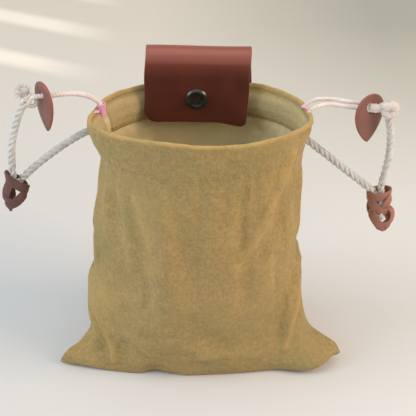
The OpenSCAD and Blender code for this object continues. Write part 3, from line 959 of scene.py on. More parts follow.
def bag_points(side, u, q, inset):
    """Points of a panel in millimetres: u is the level, q the angle round it, inset the way inwards."""
    u, q, inset = np.broadcast_arrays(*(np.asarray(a, float) for a in (u, q, inset)))
    ear = np.maximum(0, 1 - u * LEVELS / 3)
    push = np.zeros(u.shape + (3,))
    push[..., 0] = inset * (1 + 1.4 * ear)
    seam_l = spline(LEFT_SEAM, u) + push
    seam_r = spline(RIGHT_SEAM, u) - push
    line = spline(CENTRE[side], u)
    my = line[..., 0] - side * inset * (u > 0)
    mz = line[..., 1] + inset * ear
    share = (1 - np.cos(q)) / 2
    seam = seam_l + (seam_r - seam_l) * share[..., None]
    w = np.sin(q) if side == FRONT else np.minimum(np.sin(q), FLAT_SHARE) / FLAT_SHARE
    mid = (seam_l + seam_r) / 2
    y = seam[..., 1] + (my - mid[..., 1]) * w
    z = np.maximum(inset, seam[..., 2] + (mz - mid[..., 2]) * w)
    return np.stack([seam[..., 0], y, z], axis=-1)


def angles():
    """Angles of the columns, closer together near the side seams."""
    t = np.linspace(0, 1, COLUMNS + 1)
    return np.pi * (t - 0.06 * np.sin(2 * np.pi * t))


def ridge(points, line, width):
    """How near points (x, z) are to a crease line: 1 on it, falling to 0 at about twice the width."""
    line = spline(line, np.linspace(0, 1, 12 * len(line)))
    away = np.linalg.norm(points[..., None, :] - line, axis=-1).min(-1)
    return hump(away, 0, width)


# Creases of the front panel: (x, z) points, height outwards and width, all in millimetres
FRONT_CREASES = [
    ([(-83, 46), (-78, 41), (-73, 32), (-69, 22), (-67, 12)], 3.2, 2.6),
    ([(-84, 44), (-79, 33), (-76, 20)], -2.8, 4.0),
    ([(-92, 33), (-89, 30)], -2.0, 2.6),
    ([(76, 66), (76.5, 57), (75, 46), (70, 34), (65, 22)], 2.8, 2.4),
    ([(83, 62), (81, 50), (78, 40)], -2.8, 3.0),
    ([(66, 190), (59, 171), (50, 147), (39, 126), (26, 106)], 3.3, 3.4),
    ([(70, 170), (66, 158), (57, 136), (46, 112)], -2.6, 4.5),
    ([(-76, 188), (-66, 172), (-58, 158)], 1.1, 3.5),
    ([(-70, 178), (-62, 160)], -0.8, 5.0),
    ([(-46, 160), (-38, 128), (-36, 104)], 1.4, 5.0),
    ([(96, 33), (92, 29)], -2.0, 2.4),
    ([(101, 26), (97, 22)], 1.2, 2.4),
    ([(-40, 3), (-30, 6), (-20, 3)], -1.6, 4.0),
    ([(73, 200), (78, 201), (82, 201)], -2.6, 2.2),
    ([(68, 203), (71, 193), (72, 184)], -0.9, 3.0),
]
BACK_CREASES = [
    ([(-80, 60), (-70, 42), (-64, 20)], 2.0, 4.0),
    ([(82, 70), (72, 50), (66, 24)], 2.0, 4.0),
    ([(-60, 125), (-48, 100), (-30, 84)], 1.0, 5.0),
    ([(58, 125), (50, 98), (36, 78)], 1.0, 5.0),
    ([(-20, 110), (0, 84), (22, 62)], 0.9, 7.0),
]
CREASES = {FRONT: FRONT_CREASES, BACK: BACK_CREASES}


def drift(points, scale, shift):
    """Smooth noise at each point, with a scale and a shift along each axis."""
    places = points.reshape(-1, 3) * np.array(scale) + np.array(shift)
    return np.array([noise.noise(Vector(place)) for place in places]).reshape(points.shape[:-1])


def relief(side, points, u, q):
    """Height of creases and soft waves over a panel's wall, in millimetres."""
    flat = points[..., [0, 2]]
    height = sum(h * ridge(flat, np.array(line, float), w) for line, h, w in CREASES[side])
    waves = drift(points, (0.022, 0.022, 0.016), (7 * side, 0, 0))
    small = drift(points, (0.06, 0.06, 0.05), (0, 3 * side, 0))
    seam = np.minimum(q, np.pi - q)
    creased = smooth(0.03, 0.2, u) * (1 - smooth(0.97, 1.0, u)) * smooth(0.0, 0.16, seam)
    free = smooth(0.03, 0.2, u) * (1 - smooth(0.78, 0.88, u)) * smooth(0.0, 0.1, seam)
    if side == BACK:
        gripped = 1 - 0.85 * smooth(0.55, 0.62, u) * (1 - smooth(38, 46, abs(points[..., 0])))
        free = free * gripped
        creased = creased * gripped
    pinch = -0.9 * hump(seam, 0, 0.035) * smooth(0.15, 0.3, u)
    return height * creased + (1.5 * waves + 0.5 * small) * free + pinch


# Places where the strings drag the rim down: its centre (x, y), the depth and the reach, in millimetres
RIM_DIPS = [((-79, 14), 3.6, 12), ((-81, -5), 3.6, 8), ((81, 9), 1.4, 12), ((82, -6), 2.4, 10),
            ((-45, -52), -1.5, 22), ((22, -58), 1.7, 26)]
RIM_NOISE = [(0.035, 0.9), (0.11, 0.5)]


def dipped(points):
    """Points of the rim and hem let down where the strings pull at them."""
    drop = sum(depth * np.exp(-(((points[..., 0] - x) ** 2 + (points[..., 1] - y) ** 2) / reach**2))
               for (x, y), depth, reach in RIM_DIPS)
    for scale, height in RIM_NOISE:
        drop = drop + height * drift(points, (scale, scale, 0), (0, 0, 5))
    out = points.copy()
    out[..., 2] -= drop * smooth(182, 204, points[..., 2])
    return out


# The front's lower edge: where it is pushed forwards, and where it arches off the ground
EDGE_PUSH = {"x": 91, "reach": 23, "out": 13}
EDGE_ARCH = {"x": -34, "reach": 10, "up": 2.8, "in": 2.5}


def edge_shift(points, u, q):
    """How the lower edge of the front panel lies on the ground, in millimetres."""
    x, y, z = points[..., 0], points[..., 1], points[..., 2]
    push = EDGE_PUSH["out"] * hump(x, EDGE_PUSH["x"], EDGE_PUSH["reach"])
    push *= (1 - smooth(8, 46, z)) * smooth(0.02, 0.1, u) * smooth(0.02, 0.2, np.minimum(q, np.pi - q))
    arch = hump(x, EDGE_ARCH["x"], EDGE_ARCH["reach"])
    arch *= (1 - smooth(4, 25, z)) * smooth(0.04, 0.09, u)
    return np.stack([np.zeros_like(x), EDGE_ARCH["in"] * arch - push, EDGE_ARCH["up"] * arch], axis=-1)


def wall_normals(points, side):
    """Outward normals of a grid of wall points."""
    along = np.gradient(points, axis=1)
    up = np.gradient(points, axis=0)
    return unit(np.cross(along, up)) * (1 if side == FRONT else -1)


# ---------------------------------------------------------------- canvas bag: cloth simulation

SIM_ROWS = 44
SIM_COLUMNS = 52
SIM_FRAMES = 26
SIM_REACH = 5.0
SIM_CONTACT = 0.5 * MM
SIM_SETTINGS = {
    "quality": 8,
    "mass": 0.2,
    "tension_stiffness": 40,
    "compression_stiffness": 40,
    "shear_stiffness": 20,
    "bending_stiffness": 1.2,
    "shrink_min": -0.025,
    "use_pressure": True,
    "uniform_pressure_force": 0.25,
    "vertex_group_mass": "held",
    "pin_stiffness": 1.0,
}


def sim_mesh():
    """One closed sock of canvas for the simulation, and each panel grid's vertex numbers."""
    u = np.linspace(0, 1, SIM_ROWS + 1)[:, None]
    q = np.linspace(0, np.pi, SIM_COLUMNS + 1)[None, :]
    vertices = []
    index = {}
    numbers = {}
    for side in (FRONT, BACK):
        grid = bag_points(side, u, q, 0.0) * MM
        ids = np.empty(grid.shape[:2], int)
        for i in range(SIM_ROWS + 1):
            for j in range(SIM_COLUMNS + 1):
                shared = i == 0 or j in (0, SIM_COLUMNS)
                key = (i, j) if shared else (i, j, side)
                if key not in index:
                    index[key] = len(vertices)
                    vertices.append(grid[i, j])
                ids[i, j] = index[key]
        numbers[side] = ids
    faces = []
    for side, ids in numbers.items():
        quads = np.stack([ids[:-1, :-1], ids[:-1, 1:], ids[1:, 1:], ids[1:, :-1]], axis=-1).reshape(-1, 4)
        faces += [tuple(f) if side == FRONT else tuple(f[::-1]) for f in quads]
    return np.array(vertices), faces, numbers


def resting(vertices):
    """1 along the bottom edge and in the folded ears, where the bag rests on the ground; 0 elsewhere."""
    x, _, z = vertices.T / MM
    ears = smooth(62, 80, abs(x)) * (1 - smooth(45, 75, z))
    return np.maximum(ears, 1 - smooth(4, 30, z))


def held_weights(vertices):
    """How firmly the hem, the bottom seam and the leather's grip hold the cloth."""
    x, y, z = vertices.T / MM
    hem = smooth(168, 182, z)
    grip = smooth(124, 132, z) * (1 - smooth(40, 46, abs(x))) * (y > 30)
    return np.clip(np.maximum.reduce([hem, grip, resting(vertices)]), 0, 1)


def sim_cloth(vertices, faces):
    """The sock as a cloth object that is held where held_weights says."""
    data = bpy.data.meshes.new("sim")
    data.from_pydata([tuple(v) for v in vertices], [], faces)
    cloth = into_scene("sim", data)
    group = cloth.vertex_groups.new(name=SIM_SETTINGS["vertex_group_mass"])
    for i, weight in enumerate(held_weights(vertices)):
        group.add([i], float(weight), "REPLACE")
    modifier = cloth.modifiers.new("cloth", "CLOTH")
    for key, value in SIM_SETTINGS.items():
        setattr(modifier.settings, key, value)
    modifier.collision_settings.distance_min = SIM_CONTACT
    modifier.point_cache.frame_end = SIM_FRAMES
    return cloth


def sim_ground():
    """The ground that the cloth rests on."""
    bpy.ops.mesh.primitive_plane_add(size=1, location=(0, 0, 0))
    ground = bpy.context.object
    ground.modifiers.new("hit", "COLLISION")
    ground.collision.thickness_outer = SIM_CONTACT
    return ground


def simulate_bag():
    """Lets the canvas settle under its weight. Returns how far each panel's grid moved, in millimetres."""
    vertices, faces, numbers = sim_mesh()
    ground = sim_ground()
    cloth = sim_cloth(vertices, faces)
    for step in range(1, SIM_FRAMES + 1):
        bpy.context.scene.frame_set(step)
    settled = cloth.evaluated_get(bpy.context.evaluated_depsgraph_get())
    moved = np.array([v.co for v in settled.data.vertices]) - vertices
    moved = np.nan_to_num(moved) / MM
    size = np.linalg.norm(moved, axis=1, keepdims=True)
    moved *= np.minimum(1, SIM_REACH / np.maximum(size, 1e-6)) * (1 - resting(vertices))[:, None]
    bpy.context.scene.frame_set(1)
    for extra in (cloth, ground):
        bpy.data.objects.remove(extra)
    return {side: moved[ids] for side, ids in numbers.items()}


def sampled(field, u, q):
    """A simulation grid's values at other levels and angles."""
    i = np.clip(u, 0, 1) * SIM_ROWS
    j = np.clip(q / np.pi, 0, 1) * SIM_COLUMNS
    i0 = np.minimum(i.astype(int), SIM_ROWS - 1)
    j0 = np.minimum(j.astype(int), SIM_COLUMNS - 1)
    a, b = (i - i0)[..., None], (j - j0)[..., None]
    top = field[i0 + 1, j0] * (1 - b) + field[i0 + 1, j0 + 1] * b
    return (field[i0, j0] * (1 - b) + field[i0, j0 + 1] * b) * (1 - a) + top * a


def grid_uv(points):
    """UVs in metres from the lengths along a grid's rows and columns."""
    across = np.linalg.norm(np.diff(points, axis=1), axis=2).mean(0)
    up = np.linalg.norm(np.diff(points, axis=0), axis=2).mean(1)
    x = np.concatenate([[0], np.cumsum(across)])
    y = np.concatenate([[0], np.cumsum(up)])
    return np.stack(np.broadcast_arrays((x - x[-1] / 2)[None, :], y[:, None]), axis=-1)


# ---------------------------------------------------------------- canvas bag: the two panels

SWELL = RIM_ROLL - (CANVAS_T + LINING_T) / 2
INNER_ROLL = 0.5
FLOOR_GAP = 0.15
# Where the stitch line runs, as a share of the hem's height: outside on the wall and inside on the hem
WALL_STITCH = 0.965
HEM_STITCH = 0.93


def above_floor(points, gap):
    """Points with the lowest ones lifted to a gap above the ground."""
    out = points.copy()
    out[..., 2] = np.maximum(out[..., 2], gap)
    return out


def wall_faces(side, shift, u, q):
    """The wall's outer and inner faces, moved by the same shift and never closer than THINNEST."""
    outer = above_floor(bag_points(side, u, q, 0.0) + shift, FLOOR_GAP)
    inner = bag_points(side, u, q, CANVAS_T) + shift
    facing = wall_normals(outer, side)
    thin = THINNEST - ((outer - inner) * facing).sum(-1)
    inner -= facing * np.maximum(thin, 0)[..., None]
    return outer, above_floor(inner, FLOOR_GAP + CANVAS_T)


def rim_faces(side, q):
    """The outer and inner faces of the rounded rim, where the canvas turns over into the hem."""
    edge = bag_points(side, 1.0, q, 0.0)
    inward = unit(bag_points(side, 1.0, q, 1.0) - edge)
    middle = edge + inward * (CANVAS_T + LINING_T) / 2
    turns = np.linspace(0, np.pi, ROLL_ROWS + 2)[1:-1, None, None]
    return [middle - inward * r * np.cos(turns) + UP * r * np.sin(turns) for r in (RIM_ROLL, INNER_ROLL)]


def hem_faces(side, v, q):
    """The hem's face towards the mouth and its face towards the strings; v runs down from the rim."""
    u = 1 - v * HEM_LEVELS / LEVELS
    gap = CANVAS_T + CHANNEL_GAP * spline(np.array(CHANNEL_PROFILE)[:, None], v)[..., 0]
    groove = 0.9 * hump(np.minimum(q, np.pi - q), 0, 0.05)
    bead = 0.7 * hump(v, 0.96, 0.035)
    pucker = 0.35 * np.sin(q * 90) * hump(v, HEM_STITCH, 0.05) + bead
    near_rim = SWELL * (1 - smooth(0.0, 0.12, v))
    slit = 2.6 * hump(q, 0.37, 0.05) * smooth(0.2, 0.45, v) * (side == BACK)
    shown = bag_points(side, u, q, gap + LINING_T + near_rim + pucker - groove - slit)
    return shown, bag_points(side, u, q, gap)


def panel_wear_and_painted_light(creases, u, v):
    """Wear over a panel's rows: rubbed along the rim, the creases and the hem's cut edge; negative values on
    the hem's shown face paint light onto it.
    """
    rows = WALL_ROWS + 1 + ROLL_ROWS + HEM_ROWS + 1
    wear = np.zeros((rows, COLUMNS + 1))
    wear += 0.8 * hump(np.arange(rows), WALL_ROWS + ROLL_ROWS / 2, 6.0)[:, None]
    rubbed = np.clip(creases / 3.0, 0, 0.45) * smooth(0.02, 0.1, u)
    wear[: WALL_ROWS + 1] = np.maximum(wear[: WALL_ROWS + 1], rubbed)
    # Painted light: the hem's shown face inside the mouth goes negative, so it takes the paler inside colour
    wear[WALL_ROWS + 1 + ROLL_ROWS :] -= 0.4 * smooth(0, 0.4, v) - hump(v, 0.97, 0.04)
    return wear


def make_panel(side, moved):
    """One canvas panel with its hem: the shown face runs up the wall, over the rim and down the hem."""
    u, q = np.broadcast_arrays(np.linspace(0, 1, WALL_ROWS + 1)[:, None], angles()[None, :])
    v, hem_q = np.broadcast_arrays(np.linspace(0, 1, HEM_ROWS + 1)[:, None], q[0][None, :])
    wall = bag_points(side, u, q, 0.0)
    creases = relief(side, wall, u, q)
    normal = wall_normals(wall, side)
    lift = creases + SWELL * smooth(0.94, 1.0, u)
    shift = sampled(moved, u, q) + normal * lift[..., None]
    if side == FRONT:
        shift = shift + edge_shift(wall, u, q)
    outer, inner = wall_faces(side, shift, u, q)
    rim_out, rim_in = rim_faces(side, q[0])
    hem, hem_back = hem_faces(side, v, hem_q)
    shown = dipped(np.concatenate([outer, rim_out, hem])) * MM
    hidden = dipped(np.concatenate([inner, rim_in, hem_back])) * MM
    wear = panel_wear_and_painted_light(creases, u, v)
    # Painted light: every inside face gets the paler inside colour
    painted_inside_light = np.full(wear.shape, -1.0)
    way = slice(None) if side == FRONT else slice(None, None, -1)
    piece = Piece()
    piece.shell(shown[:, way], hidden[:, way], grid_uv(shown), wear[:, way], painted_inside_light)
    name = PANEL_NAMES[side]
    obj = piece.build(name + "_canvas", CANVAS, "bag", replaces=[name + "_panel", name + "_hem"])
    return obj, {"outer": outer, "normal": normal, "hem": hem}


settled = simulate_bag()
panels = {side: make_panel(side, settled[side]) for side in (FRONT, BACK)}

# ---------------------------------------------------------------- stitching

STITCH_LONG = 2.6 * MM
STITCH_PITCH = 3.7 * MM
STITCH_R = 0.38 * MM


def add_stitches(piece, line, normal, lift=0.15 * MM):
    """A row of short stitches that dip into the cloth at both ends."""
    along = lengths_along(line)
    starts = np.arange(1.0 * MM, along[-1] - STITCH_LONG, STITCH_PITCH)
    for start in starts:
        at = start + np.linspace(0, STITCH_LONG, 7)
        points = np.stack([np.interp(at, along, line[:, k]) for k in range(3)], axis=1)
        out = np.stack([np.interp(at, along, normal[:, k]) for k in range(3)], axis=1)
        bow = np.sin(np.linspace(0, np.pi, 7))[:, None]
        add_tube(piece, points + out * (lift * bow - 0.25 * MM * (1 - bow)), STITCH_R, 6, taper=0.5 * MM)


def make_hem_stitching(side):
    """The stitch line that holds the hem, outside on the wall and inside on the hem."""
    facts = panels[side][1]
    piece = Piece()
    row = int(round((1 - WALL_STITCH * HEM_LEVELS / LEVELS) * WALL_ROWS))
    use = slice(3, COLUMNS - 2)
    add_stitches(piece, facts["outer"][row, use] * MM, facts["normal"][row, use])
    hem_row = int(round(HEM_STITCH * HEM_ROWS))
    inside = facts["hem"][hem_row, use] * MM
    add_stitches(piece, inside, -facts["normal"][row, use])
    return piece.build(PANEL_NAMES[side] + "_hem_stitching", SEWING, "bag")


for side in (FRONT, BACK):
    make_hem_stitching(side)

# ---------------------------------------------------------------- seams inside the bag and channel strings


def make_allowance(name, seam, reach, wave, flip):
    """A seam allowance: doubled canvas that stands off a line of seam points and waves along it."""
    depth = np.linspace(0, 1, 6)[None, :, None]
    sheet = seam[:, None] + depth * np.array(reach) + wave[:, None, None] * depth * np.array([0, 1.0, 0])
    half = np.array([0, 0.9, 0])
    low, high = (sheet - half) * MM, (sheet + half) * MM
    way = slice(None, None, -1) if flip else slice(None)
    piece = Piece()
    piece.shell(low[:, way], high[:, way], grid_uv(low))
    return piece.build(name + "_allowance", CANVAS, "bag", replaces=[name])


def make_side_allowance(side):
    """The sewn seam allowance that stands inwards along a side seam."""
    u = np.linspace(0.36, 0.83, 40)
    q = np.full(len(u), 0.0 if side == LEFT else np.pi)
    seam = bag_points(FRONT, u, q, CANVAS_T + 0.2) + sampled(settled[FRONT], u, q)
    name = SIDE_NAMES[side] + "_side_seam"
    return make_allowance(name, seam, (-side * 7.0, 0, 0), 0.9 * np.sin(u * 60), side == RIGHT)


def make_bottom_allowance():
    """The sewn seam allowance along the bag's bottom."""
    x = np.linspace(-78, 78, 60)
    tilt = (RIGHT_SEAM[0][1] - LEFT_SEAM[0][1]) / (RIGHT_SEAM[0][0] - LEFT_SEAM[0][0])
    seam = np.stack([x, -31 + tilt * x, np.full(len(x), CANVAS_T + 0.4)], axis=1)
    return make_allowance("bottom_seam", seam, (0, 0, 6.8), 1.1 * np.sin(x * 0.13), True)


def channel_route(side, degrees):
    """The drawstring's place in the hem."""
    q = np.radians(np.asarray(degrees, float))
    return bag_points(side, 1 - 0.63 * HEM_LEVELS / LEVELS, q, CANVAS_T + STRING_INSET) * MM


def make_channel_string(side, route):
    """The hidden run of a drawstring inside a hem."""
    path = curve_through(route, 1 * MM)
    piece = Piece()
    add_twist(piece, path, STRING_D * 0.96, STRING_LAY, sides=7, fullness=STRING_FULLNESS)
    name = PANEL_NAMES[side] + "_drawstring"
    return piece.build(name + "_in_hem", CORD, "bag", replaces=[name])


for side in (LEFT, RIGHT):
    make_side_allowance(side)
make_bottom_allowance()
make_channel_string(FRONT, np.concatenate([
    mm(STUBS["left_front"])[:2][::-1],
    channel_route(BACK, [8]),
    channel_route(FRONT, range(8, 177, 12)),
    channel_route(FRONT, [178]),
    mm(STUBS["right_front"])[:2],
]))
make_channel_string(BACK, np.concatenate([
    mm(STUBS["left_rear"])[:2][::-1],
    channel_route(BACK, range(30, 151, 12)),
    mm(STUBS["right_rear"])[:2],
]))

# ---------------------------------------------------------------- pink thread at the slits


def add_whipping(piece, centre, half_y, half_x, low, high, turns, thread_r):
    """Thread wound round the pair of strings where they leave the slit; half_x is given low and high."""
    t = np.linspace(0, 1, turns * 24)
    a = 2 * np.pi * turns * t
    x = centre[0] + (half_x[0] + (half_x[1] - half_x[0]) * t + thread_r) * np.cos(a)
    y = centre[1] + (half_y + thread_r) * np.sin(a)
    z = low + (high - low) * t
    add_tube(piece, np.stack([x, y, z], axis=1), thread_r, 8, taper=1 * MM)


def add_bar_tack(piece, start, end, lift, count, spread, thread_r):
    """Short threads side by side that lie over the rim."""
    for k in range(count):
        side_step = np.array(spread) * (k - (count - 1) / 2)
        a = np.array(start) + side_step
        b = np.array(end) + side_step
        middle = (a + b) / 2 + np.array(lift)
        add_tube(piece, curve_through([a, middle, b]), thread_r, 7, taper=0.8 * MM)


def make_left_thread():
    """Pink thread round the left strings at their slit, and a bar tack over the rim."""
    piece = Piece()
    add_whipping(piece, (-0.0735, EXIT_Y), 3.4 * MM, (1.7 * MM, 2.3 * MM), 0.1945, 0.2058, 10, 0.55 * MM)
    add_bar_tack(piece, (-0.0745, 0.0122, 0.2016), (-0.0798, 0.0108, 0.2010), (0, 0, 0.0004), 3,
                 (0, 0.0012, 0), 0.5 * MM)
    return piece.build("left_exit_thread", THREAD, "bag", replaces=["left_exit_stitching"])


def make_right_thread():
    """A pink bar tack over the rim where the right strings leave it."""
    piece = Piece()
    add_bar_tack(piece, (0.0755, 0.0150, 0.2050), (0.0822, 0.0070, 0.2036), (0.0006, 0, 0.0008), 3,
                 (-0.0004, -0.0008, -0.0003), 0.5 * MM)
    return piece.build("right_exit_thread", THREAD, "bag", replaces=["right_exit_stitching"])


def make_outer_thread(side, x, z, turn):
    """Buttonhole stitches round the hole where the lower rope goes into the wall."""
    piece = Piece()
    place = np.array([x, EXIT_Y, z])
    yaw = math.radians(turn)
    out = np.array([math.cos(yaw) * side, side * math.sin(yaw), 0])
    flat = np.array([-out[1], out[0], 0])
    for k in range(16):
        a = 2 * np.pi * k / 16
        ray = math.cos(a) * flat + math.sin(a) * UP
        # Each stitch starts in the cloth at the hole, bows outwards and dips in again further from it
        steps = [(3.0, -0.6), (3.9, 0.7), (5.2, -0.6)]
        points = [place + ray * away * MM + out * lift * MM for away, lift in steps]
        add_tube(piece, curve_through(points, 0.4 * MM), 0.5 * MM, 6, taper=0.6 * MM)
    name = SIDE_NAMES[side]
    return piece.build(name + "_outer_thread", SEWING, "bag", replaces=[name + "_outer_stitching"])


make_left_thread()
make_right_thread()
make_outer_thread(LEFT, -0.0775, 0.187, -20)
make_outer_thread(RIGHT, 0.077, 0.181, 20)

# ---------------------------------------------------------------- leather holder

STRIP_W = 80 * MM
LEATHER_T = 2.5 * MM
FOLD_R = 10.9 * MM
FOLD_Z = 0.2275
FLAP_LOW = 0.1815
STRIP_LOW = 0.130
BACK_Y = 0.0498
FLAP_FRONT = BACK_Y - 0.0126
FOLD_Y = FLAP_FRONT + FOLD_R
# Radii of the left and right corners at the rear strip's first end and the flap's last end
CORNERS = {"first": (7 * MM, 7 * MM), "last": (9.5 * MM, 4.5 * MM)}
SNAP_Z = 0.2008
SNAP_X = -0.0025
MIDDLE_R = FOLD_R - LEATHER_T / 2
# The leather is paler from the first height up to the second, over the fold: partly stretched, rubbed leather
# and partly a painted highlight
FOLD_RUB_AND_PAINTED_HIGHLIGHT = (0.216, 0.2385)


def fold_arc(start, end):
    """Points (y, z) of the leather's middle over the fold, from one angle to another."""
    turns = np.linspace(start, end, 46)
    return [(FOLD_Y + MIDDLE_R * math.cos(a), FOLD_Z + MIDDLE_R * math.sin(a)) for a in turns]


def rear_line():
    """The middle of the leather from its lower rear end up to the top of the fold, as (y, z)."""
    on_wall = BACK_Y + 0.0001 + LEATHER_T / 2
    far = FOLD_Y + MIDDLE_R
    bend = [(on_wall, z) for z in (STRIP_LOW, 0.137, 0.146, 0.153)]
    bend += [(on_wall + 0.0012, 0.1585), (far - 0.0012, 0.1675), (far, 0.173)]
    bend += [(far, z) for z in (0.185, 0.2, 0.215, FOLD_Z)]
    lower = spaced(np.array([(0, y, z) for y, z in spline(bend, np.linspace(0, 1, 200))]), 1 * MM)
    return np.concatenate([lower[:, 1:], fold_arc(0, np.pi / 2)[1:]])


def front_line():
    """The middle of the leather from the top of the fold down to the flap's edge."""
    y = FLAP_FRONT + LEATHER_T / 2
    down = [(y, z) for z in np.linspace(FOLD_Z, FLAP_LOW, 52)[1:]]
    return np.array(fold_arc(np.pi / 2, np.pi) + down)


def strap_section(left_w, right_w, n=20):
    """Rounded-edge section of the strip, as (across, out) points, from its two half widths."""
    edge = LEATHER_T / 2
    soft = 0.75 * MM
    turns = np.radians([0, 30, 60])
    side = [(-soft * (1 - math.cos(a)), (edge - soft) + soft * math.sin(a)) for a in turns]
    lower = [(x, -y) for x, y in side[::-1]]
    flat = np.linspace(soft - left_w, right_w - soft, n)
    out = [(x, edge) for x in flat]
    out += [(right_w + x, y) for x, y in side[::-1] + lower[::-1]]
    out += [(x, -edge) for x in flat[::-1]]
    out += [(-left_w - x, y) for x, y in lower + side]
    return out


def corner_width(from_end, radius):
    """Half width of the strip at a distance from its end, where its corner has this radius."""
    if from_end >= radius:
        return STRIP_W / 2
    return STRIP_W / 2 - radius + math.sqrt(max(radius**2 - (radius - from_end) ** 2, 0))


def fold_tilt(points):
    """The fold isn't quite level: it sits a little to the left, and its left end is higher."""
    x, z = points[..., 0], points[..., 2]
    share = smooth(0.200, 0.232, z)
    out = points.copy()
    out[..., 0] = x - 0.0009 * share
    out[..., 2] = z + 0.0015 * share * smooth(0.030, -0.038, x)
    return out


def flap_hang(points):
    """The flap hangs a little to the left; its free right corner hangs lower and curls towards the mouth."""
    x, y, z = points[..., 0], points[..., 1], points[..., 2]
    low = smooth(FLAP_LOW + 0.030, FLAP_LOW, z)
    right = smooth(0.008, 0.040, x)
    out = points.copy()
    out[..., 2] = z - 0.0034 * low * right
    out[..., 1] = y - 0.0022 * low * right**2 - 0.0006 * low * smooth(-0.02, -0.04, x)
    out[..., 0] = x - 0.0022 * smooth(0.2384, 0.213, z)
    out[..., 0] -= (0.0010 + 0.0014 * right) * smooth(0.213, 0.183, z)
    return out


def add_leather(piece, line, rounded_end):
    """Sweeps the strip's section along a line of (y, z) middle points; end rows are packed closely."""
    total = path_length(line)
    along = lengths_along(line)
    corner_l, corner_r = CORNERS[rounded_end]
    widest = max(corner_l, corner_r)
    near = widest * (1 - np.cos(np.linspace(0, np.pi / 2, 20)))
    if rounded_end == "last":
        stations = np.concatenate([along[along < total - widest], (total - near)[::-1]])
    else:
        stations = np.concatenate([near, along[along > widest]])
    line = np.stack([np.interp(stations, along, line[:, k]) for k in range(2)], axis=1)
    tangent = unit(np.gradient(line, axis=0))
    outward = np.stack([tangent[:, 1], -tangent[:, 0]], axis=1)
    rings = []
    for (y, z), (oy, oz), s in zip(line, outward, stations):
        from_end = total - s if rounded_end == "last" else s
        section = strap_section(corner_width(from_end, corner_l), corner_width(from_end, corner_r))
        rings.append([(x, y + oy * h, z + oz * h) for x, h in section])
    rings = fold_tilt(np.array(rings))
    if rounded_end == "last":
        rings = flap_hang(rings)
    piece.tube(rings, stations, 2 * (STRIP_W + LEATHER_T))
    # Paler towards the top of the fold: partly rubbed leather, partly a painted highlight
    piece.wear = [float(smooth(*FOLD_RUB_AND_PAINTED_HIGHLIGHT, z)) for _, _, z in piece.points]


def make_rear_leather():
    """The strip from its lower rear end up to the top of the fold."""
    piece = Piece()
    add_leather(piece, rear_line(), "first")
    return piece.build("holder_strip", LEATHER, "bag", replaces=["holder_back"])


def make_flap_leather():
    """The flap from the top of the fold down, with its placement baked into its mesh."""
    piece = Piece()
    add_leather(piece, front_line(), "last")
    flap = piece.build("holder_flap_leather", LEATHER, None, replaces=["holder_flap"])
    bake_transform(flap)
    return flap


make_rear_leather()
make_flap_leather()

# ---------------------------------------------------------------- snap, rivets and washers

FORWARD = (0, -1, 0)
BACKWARD = (0, 1, 0)


def mm_profile(points, radius=0.4, steps=5):
    """A rounded profile in metres from (radius, height) corners in millimetres."""
    return [(r * MM, h * MM) for r, h in rounded(points, radius, steps)]


def make_snap_part(name, node, body, profile, y, way):
    """One turned part of the snap."""
    piece = Piece()
    lathe(piece, profile, (SNAP_X, y, SNAP_Z), way)
    return piece.build(name, SNAP, body, sharp=50, replaces=[node])


def make_snap():
    """The cap and socket on the flap, and the stud and post on the bag; (radius, height) profiles."""
    cap = [(0.01, 1.8), (3.4, 1.85), (4.7, 2.1), (6, 2.6), (7.4, 2.2), (8.5, 1), (8.5, 0), (0.01, 0)]
    socket = [(0.01, 0.5), (3.7, 0.5), (3.9, 2), (5, 2), (6, 1.2), (6, 0), (0.01, 0)]
    stud = [(0.01, 1.4), (2.6, 1.4), (3.1, 1), (2.8, 0.1), (4.9, 0), (5.5, -0.4), (5.5, -0.8), (0.01, -0.8)]
    base = BACK_Y - 0.0061
    wall = (BACK_Y - base) / MM
    post = [(0.01, 0.8), (1.6, 0.8), (1.6, wall), (5, wall)]
    post += [(5, wall + 0.5), (4.2, wall + 0.9), (0.01, wall + 1)]
    behind = FLAP_FRONT + LEATHER_T
    make_snap_part("snap_cap_dome", "snap_cap", "flap", mm_profile(cap, 0.9, 6), FLAP_FRONT, FORWARD)
    make_snap_part("snap_socket_ring", "snap_socket", "flap", mm_profile(socket), behind, BACKWARD)
    make_snap_part("snap_stud_base", "snap_stud", "bag", mm_profile(stud, 0.25), base, FORWARD)
    make_snap_part("snap_post_rivet", "snap_post", "bag", mm_profile(post, 0.3), base, BACKWARD)


def make_rivets():
    """Four rivet heads behind the strip, each with its washer inside the bag."""
    head = [(0.01, -4.6), (1.6, -4.6), (1.6, 0), (4, 0), (4, 0.5), (3, 1.2), (1.4, 1.5), (0.01, 1.5)]
    washer = [(1.62, 0), (4, 0), (4, 0.35), (3.4, 0.8), (2.2, 0.8), (1.62, 0.5)]
    sides = 40
    heads = Piece()
    washers = Piece()
    for x in (-28, 28):
        for z in (137, 149):
            outside = (x * MM, BACK_Y + 0.00005 + LEATHER_T, z * MM)
            inside = (x * MM, BACK_Y - 1.43 * MM, z * MM)
            lathe(heads, mm_profile(head, 0.5), outside, BACKWARD, sides)
            lathe(washers, mm_profile(washer, 0.25), inside, FORWARD, sides)
    heads.build("rivet_heads", BRASS, "bag", sharp=50, replaces=["holder_rivets"])
    washers.build("rivet_washer_rings", BRASS, "bag", sharp=50, replaces=["rivet_washers"])


make_snap()
make_rivets()

# ---------------------------------------------------------------- studio


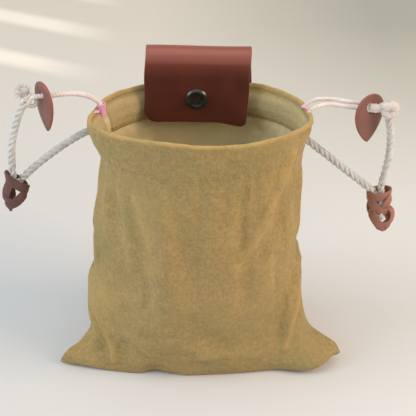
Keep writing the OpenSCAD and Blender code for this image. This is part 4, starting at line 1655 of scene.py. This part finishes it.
def backdrop_material():
    """Pale wall and floor with painted light and shade: darker at the left, shaded towards the right at the
    back, with soft bars of painted window light at the left.
    """
    m = Nodes("backdrop")
    place = m.add("ShaderNodeSeparateXYZ", {0: m.coordinates("Object", (1, 1, 1))}).outputs
    far = m.ramp(place[1], 0.1, 0.8)
    shade = m.math("MULTIPLY", m.ramp(place[0], -0.08, 0.25), m.ramp(place[1], 0.18, 0.75))
    slant = m.math("ADD", m.math("MULTIPLY", place[0], 22.0), m.math("MULTIPLY", place[1], 42.0))
    bars = m.ramp(m.math("SINE", slant), 0.2, 0.9)
    window = m.math("MULTIPLY", m.ramp(place[0], -0.12, -0.22), m.ramp(place[1], 0.5, 0.62))
    # Painted shade: the floor and wall are darker towards the left
    near = m.mix(m.ramp(place[0], -0.3, 0.3), colour("CCCCCC"), colour("DBDAD8"))
    base = m.mix(far, near, colour("D9D1C5"))
    base = m.mix(shade, base, colour("AFAFA4"))
    m.link(m.mix(m.math("MULTIPLY", bars, window), base, colour("F6EEE2")), "Base Color")
    m.set(Roughness=0.9, Specular_IOR_Level=0.1)
    return m.material


def make_backdrop():
    """A pale sweep: floor, a round rise and a wall behind."""
    rise = 0.6
    far = 1.6
    half_width = 4.0
    turns = np.linspace(0, np.pi / 2, 24)[1:]
    arc = [(far + rise * math.sin(a), rise * (1 - math.cos(a))) for a in turns]
    line = [(-3.0, 0.0), (far, 0.0)] + arc + [(far + rise, 4.0)]
    points = [(x, y, z) for y, z in line for x in (-half_width, half_width)]
    faces = [(2 * i, 2 * i + 1, 2 * i + 3, 2 * i + 2) for i in range(len(line) - 1)]
    data = bpy.data.meshes.new("backdrop")
    data.from_pydata(points, [], faces)
    data.polygons.foreach_set("use_smooth", np.ones(len(data.polygons), bool))
    data.materials.append(backdrop_material())
    backdrop = into_scene("backdrop", data)


def add_light(name, place, power, size, tint):
    """An area light that looks at the pouch."""
    data = bpy.data.lights.new(name, "AREA")
    data.energy = power
    data.size = size
    data.color = colour(tint)[:3]
    light = into_scene(name, data)
    light.location = place
    light.rotation_euler = (Vector(place) - Vector((0, 0, 0.12))).to_track_quat("Z", "Y").to_euler()


def make_world():
    """An even, pale blue-grey sky."""
    world = bpy.data.worlds.new("studio")
    world.use_nodes = True
    background = world.node_tree.nodes["Background"]
    background.inputs["Color"].default_value = colour("E6ECEF")
    background.inputs["Strength"].default_value = 0.82
    bpy.context.scene.world = world


make_backdrop()
make_world()
add_light("key", (1.8, -0.6, 1.3), 31, 1.0, "FFDFC0")
add_light("fill", (-1.8, -0.45, 1.1), 22, 1.2, "E0EAF4")
add_light("top", (-0.2, -0.1, 1.8), 6, 1.5, "FFFFFF")
bpy.context.scene.view_settings.view_transform = "Standard"
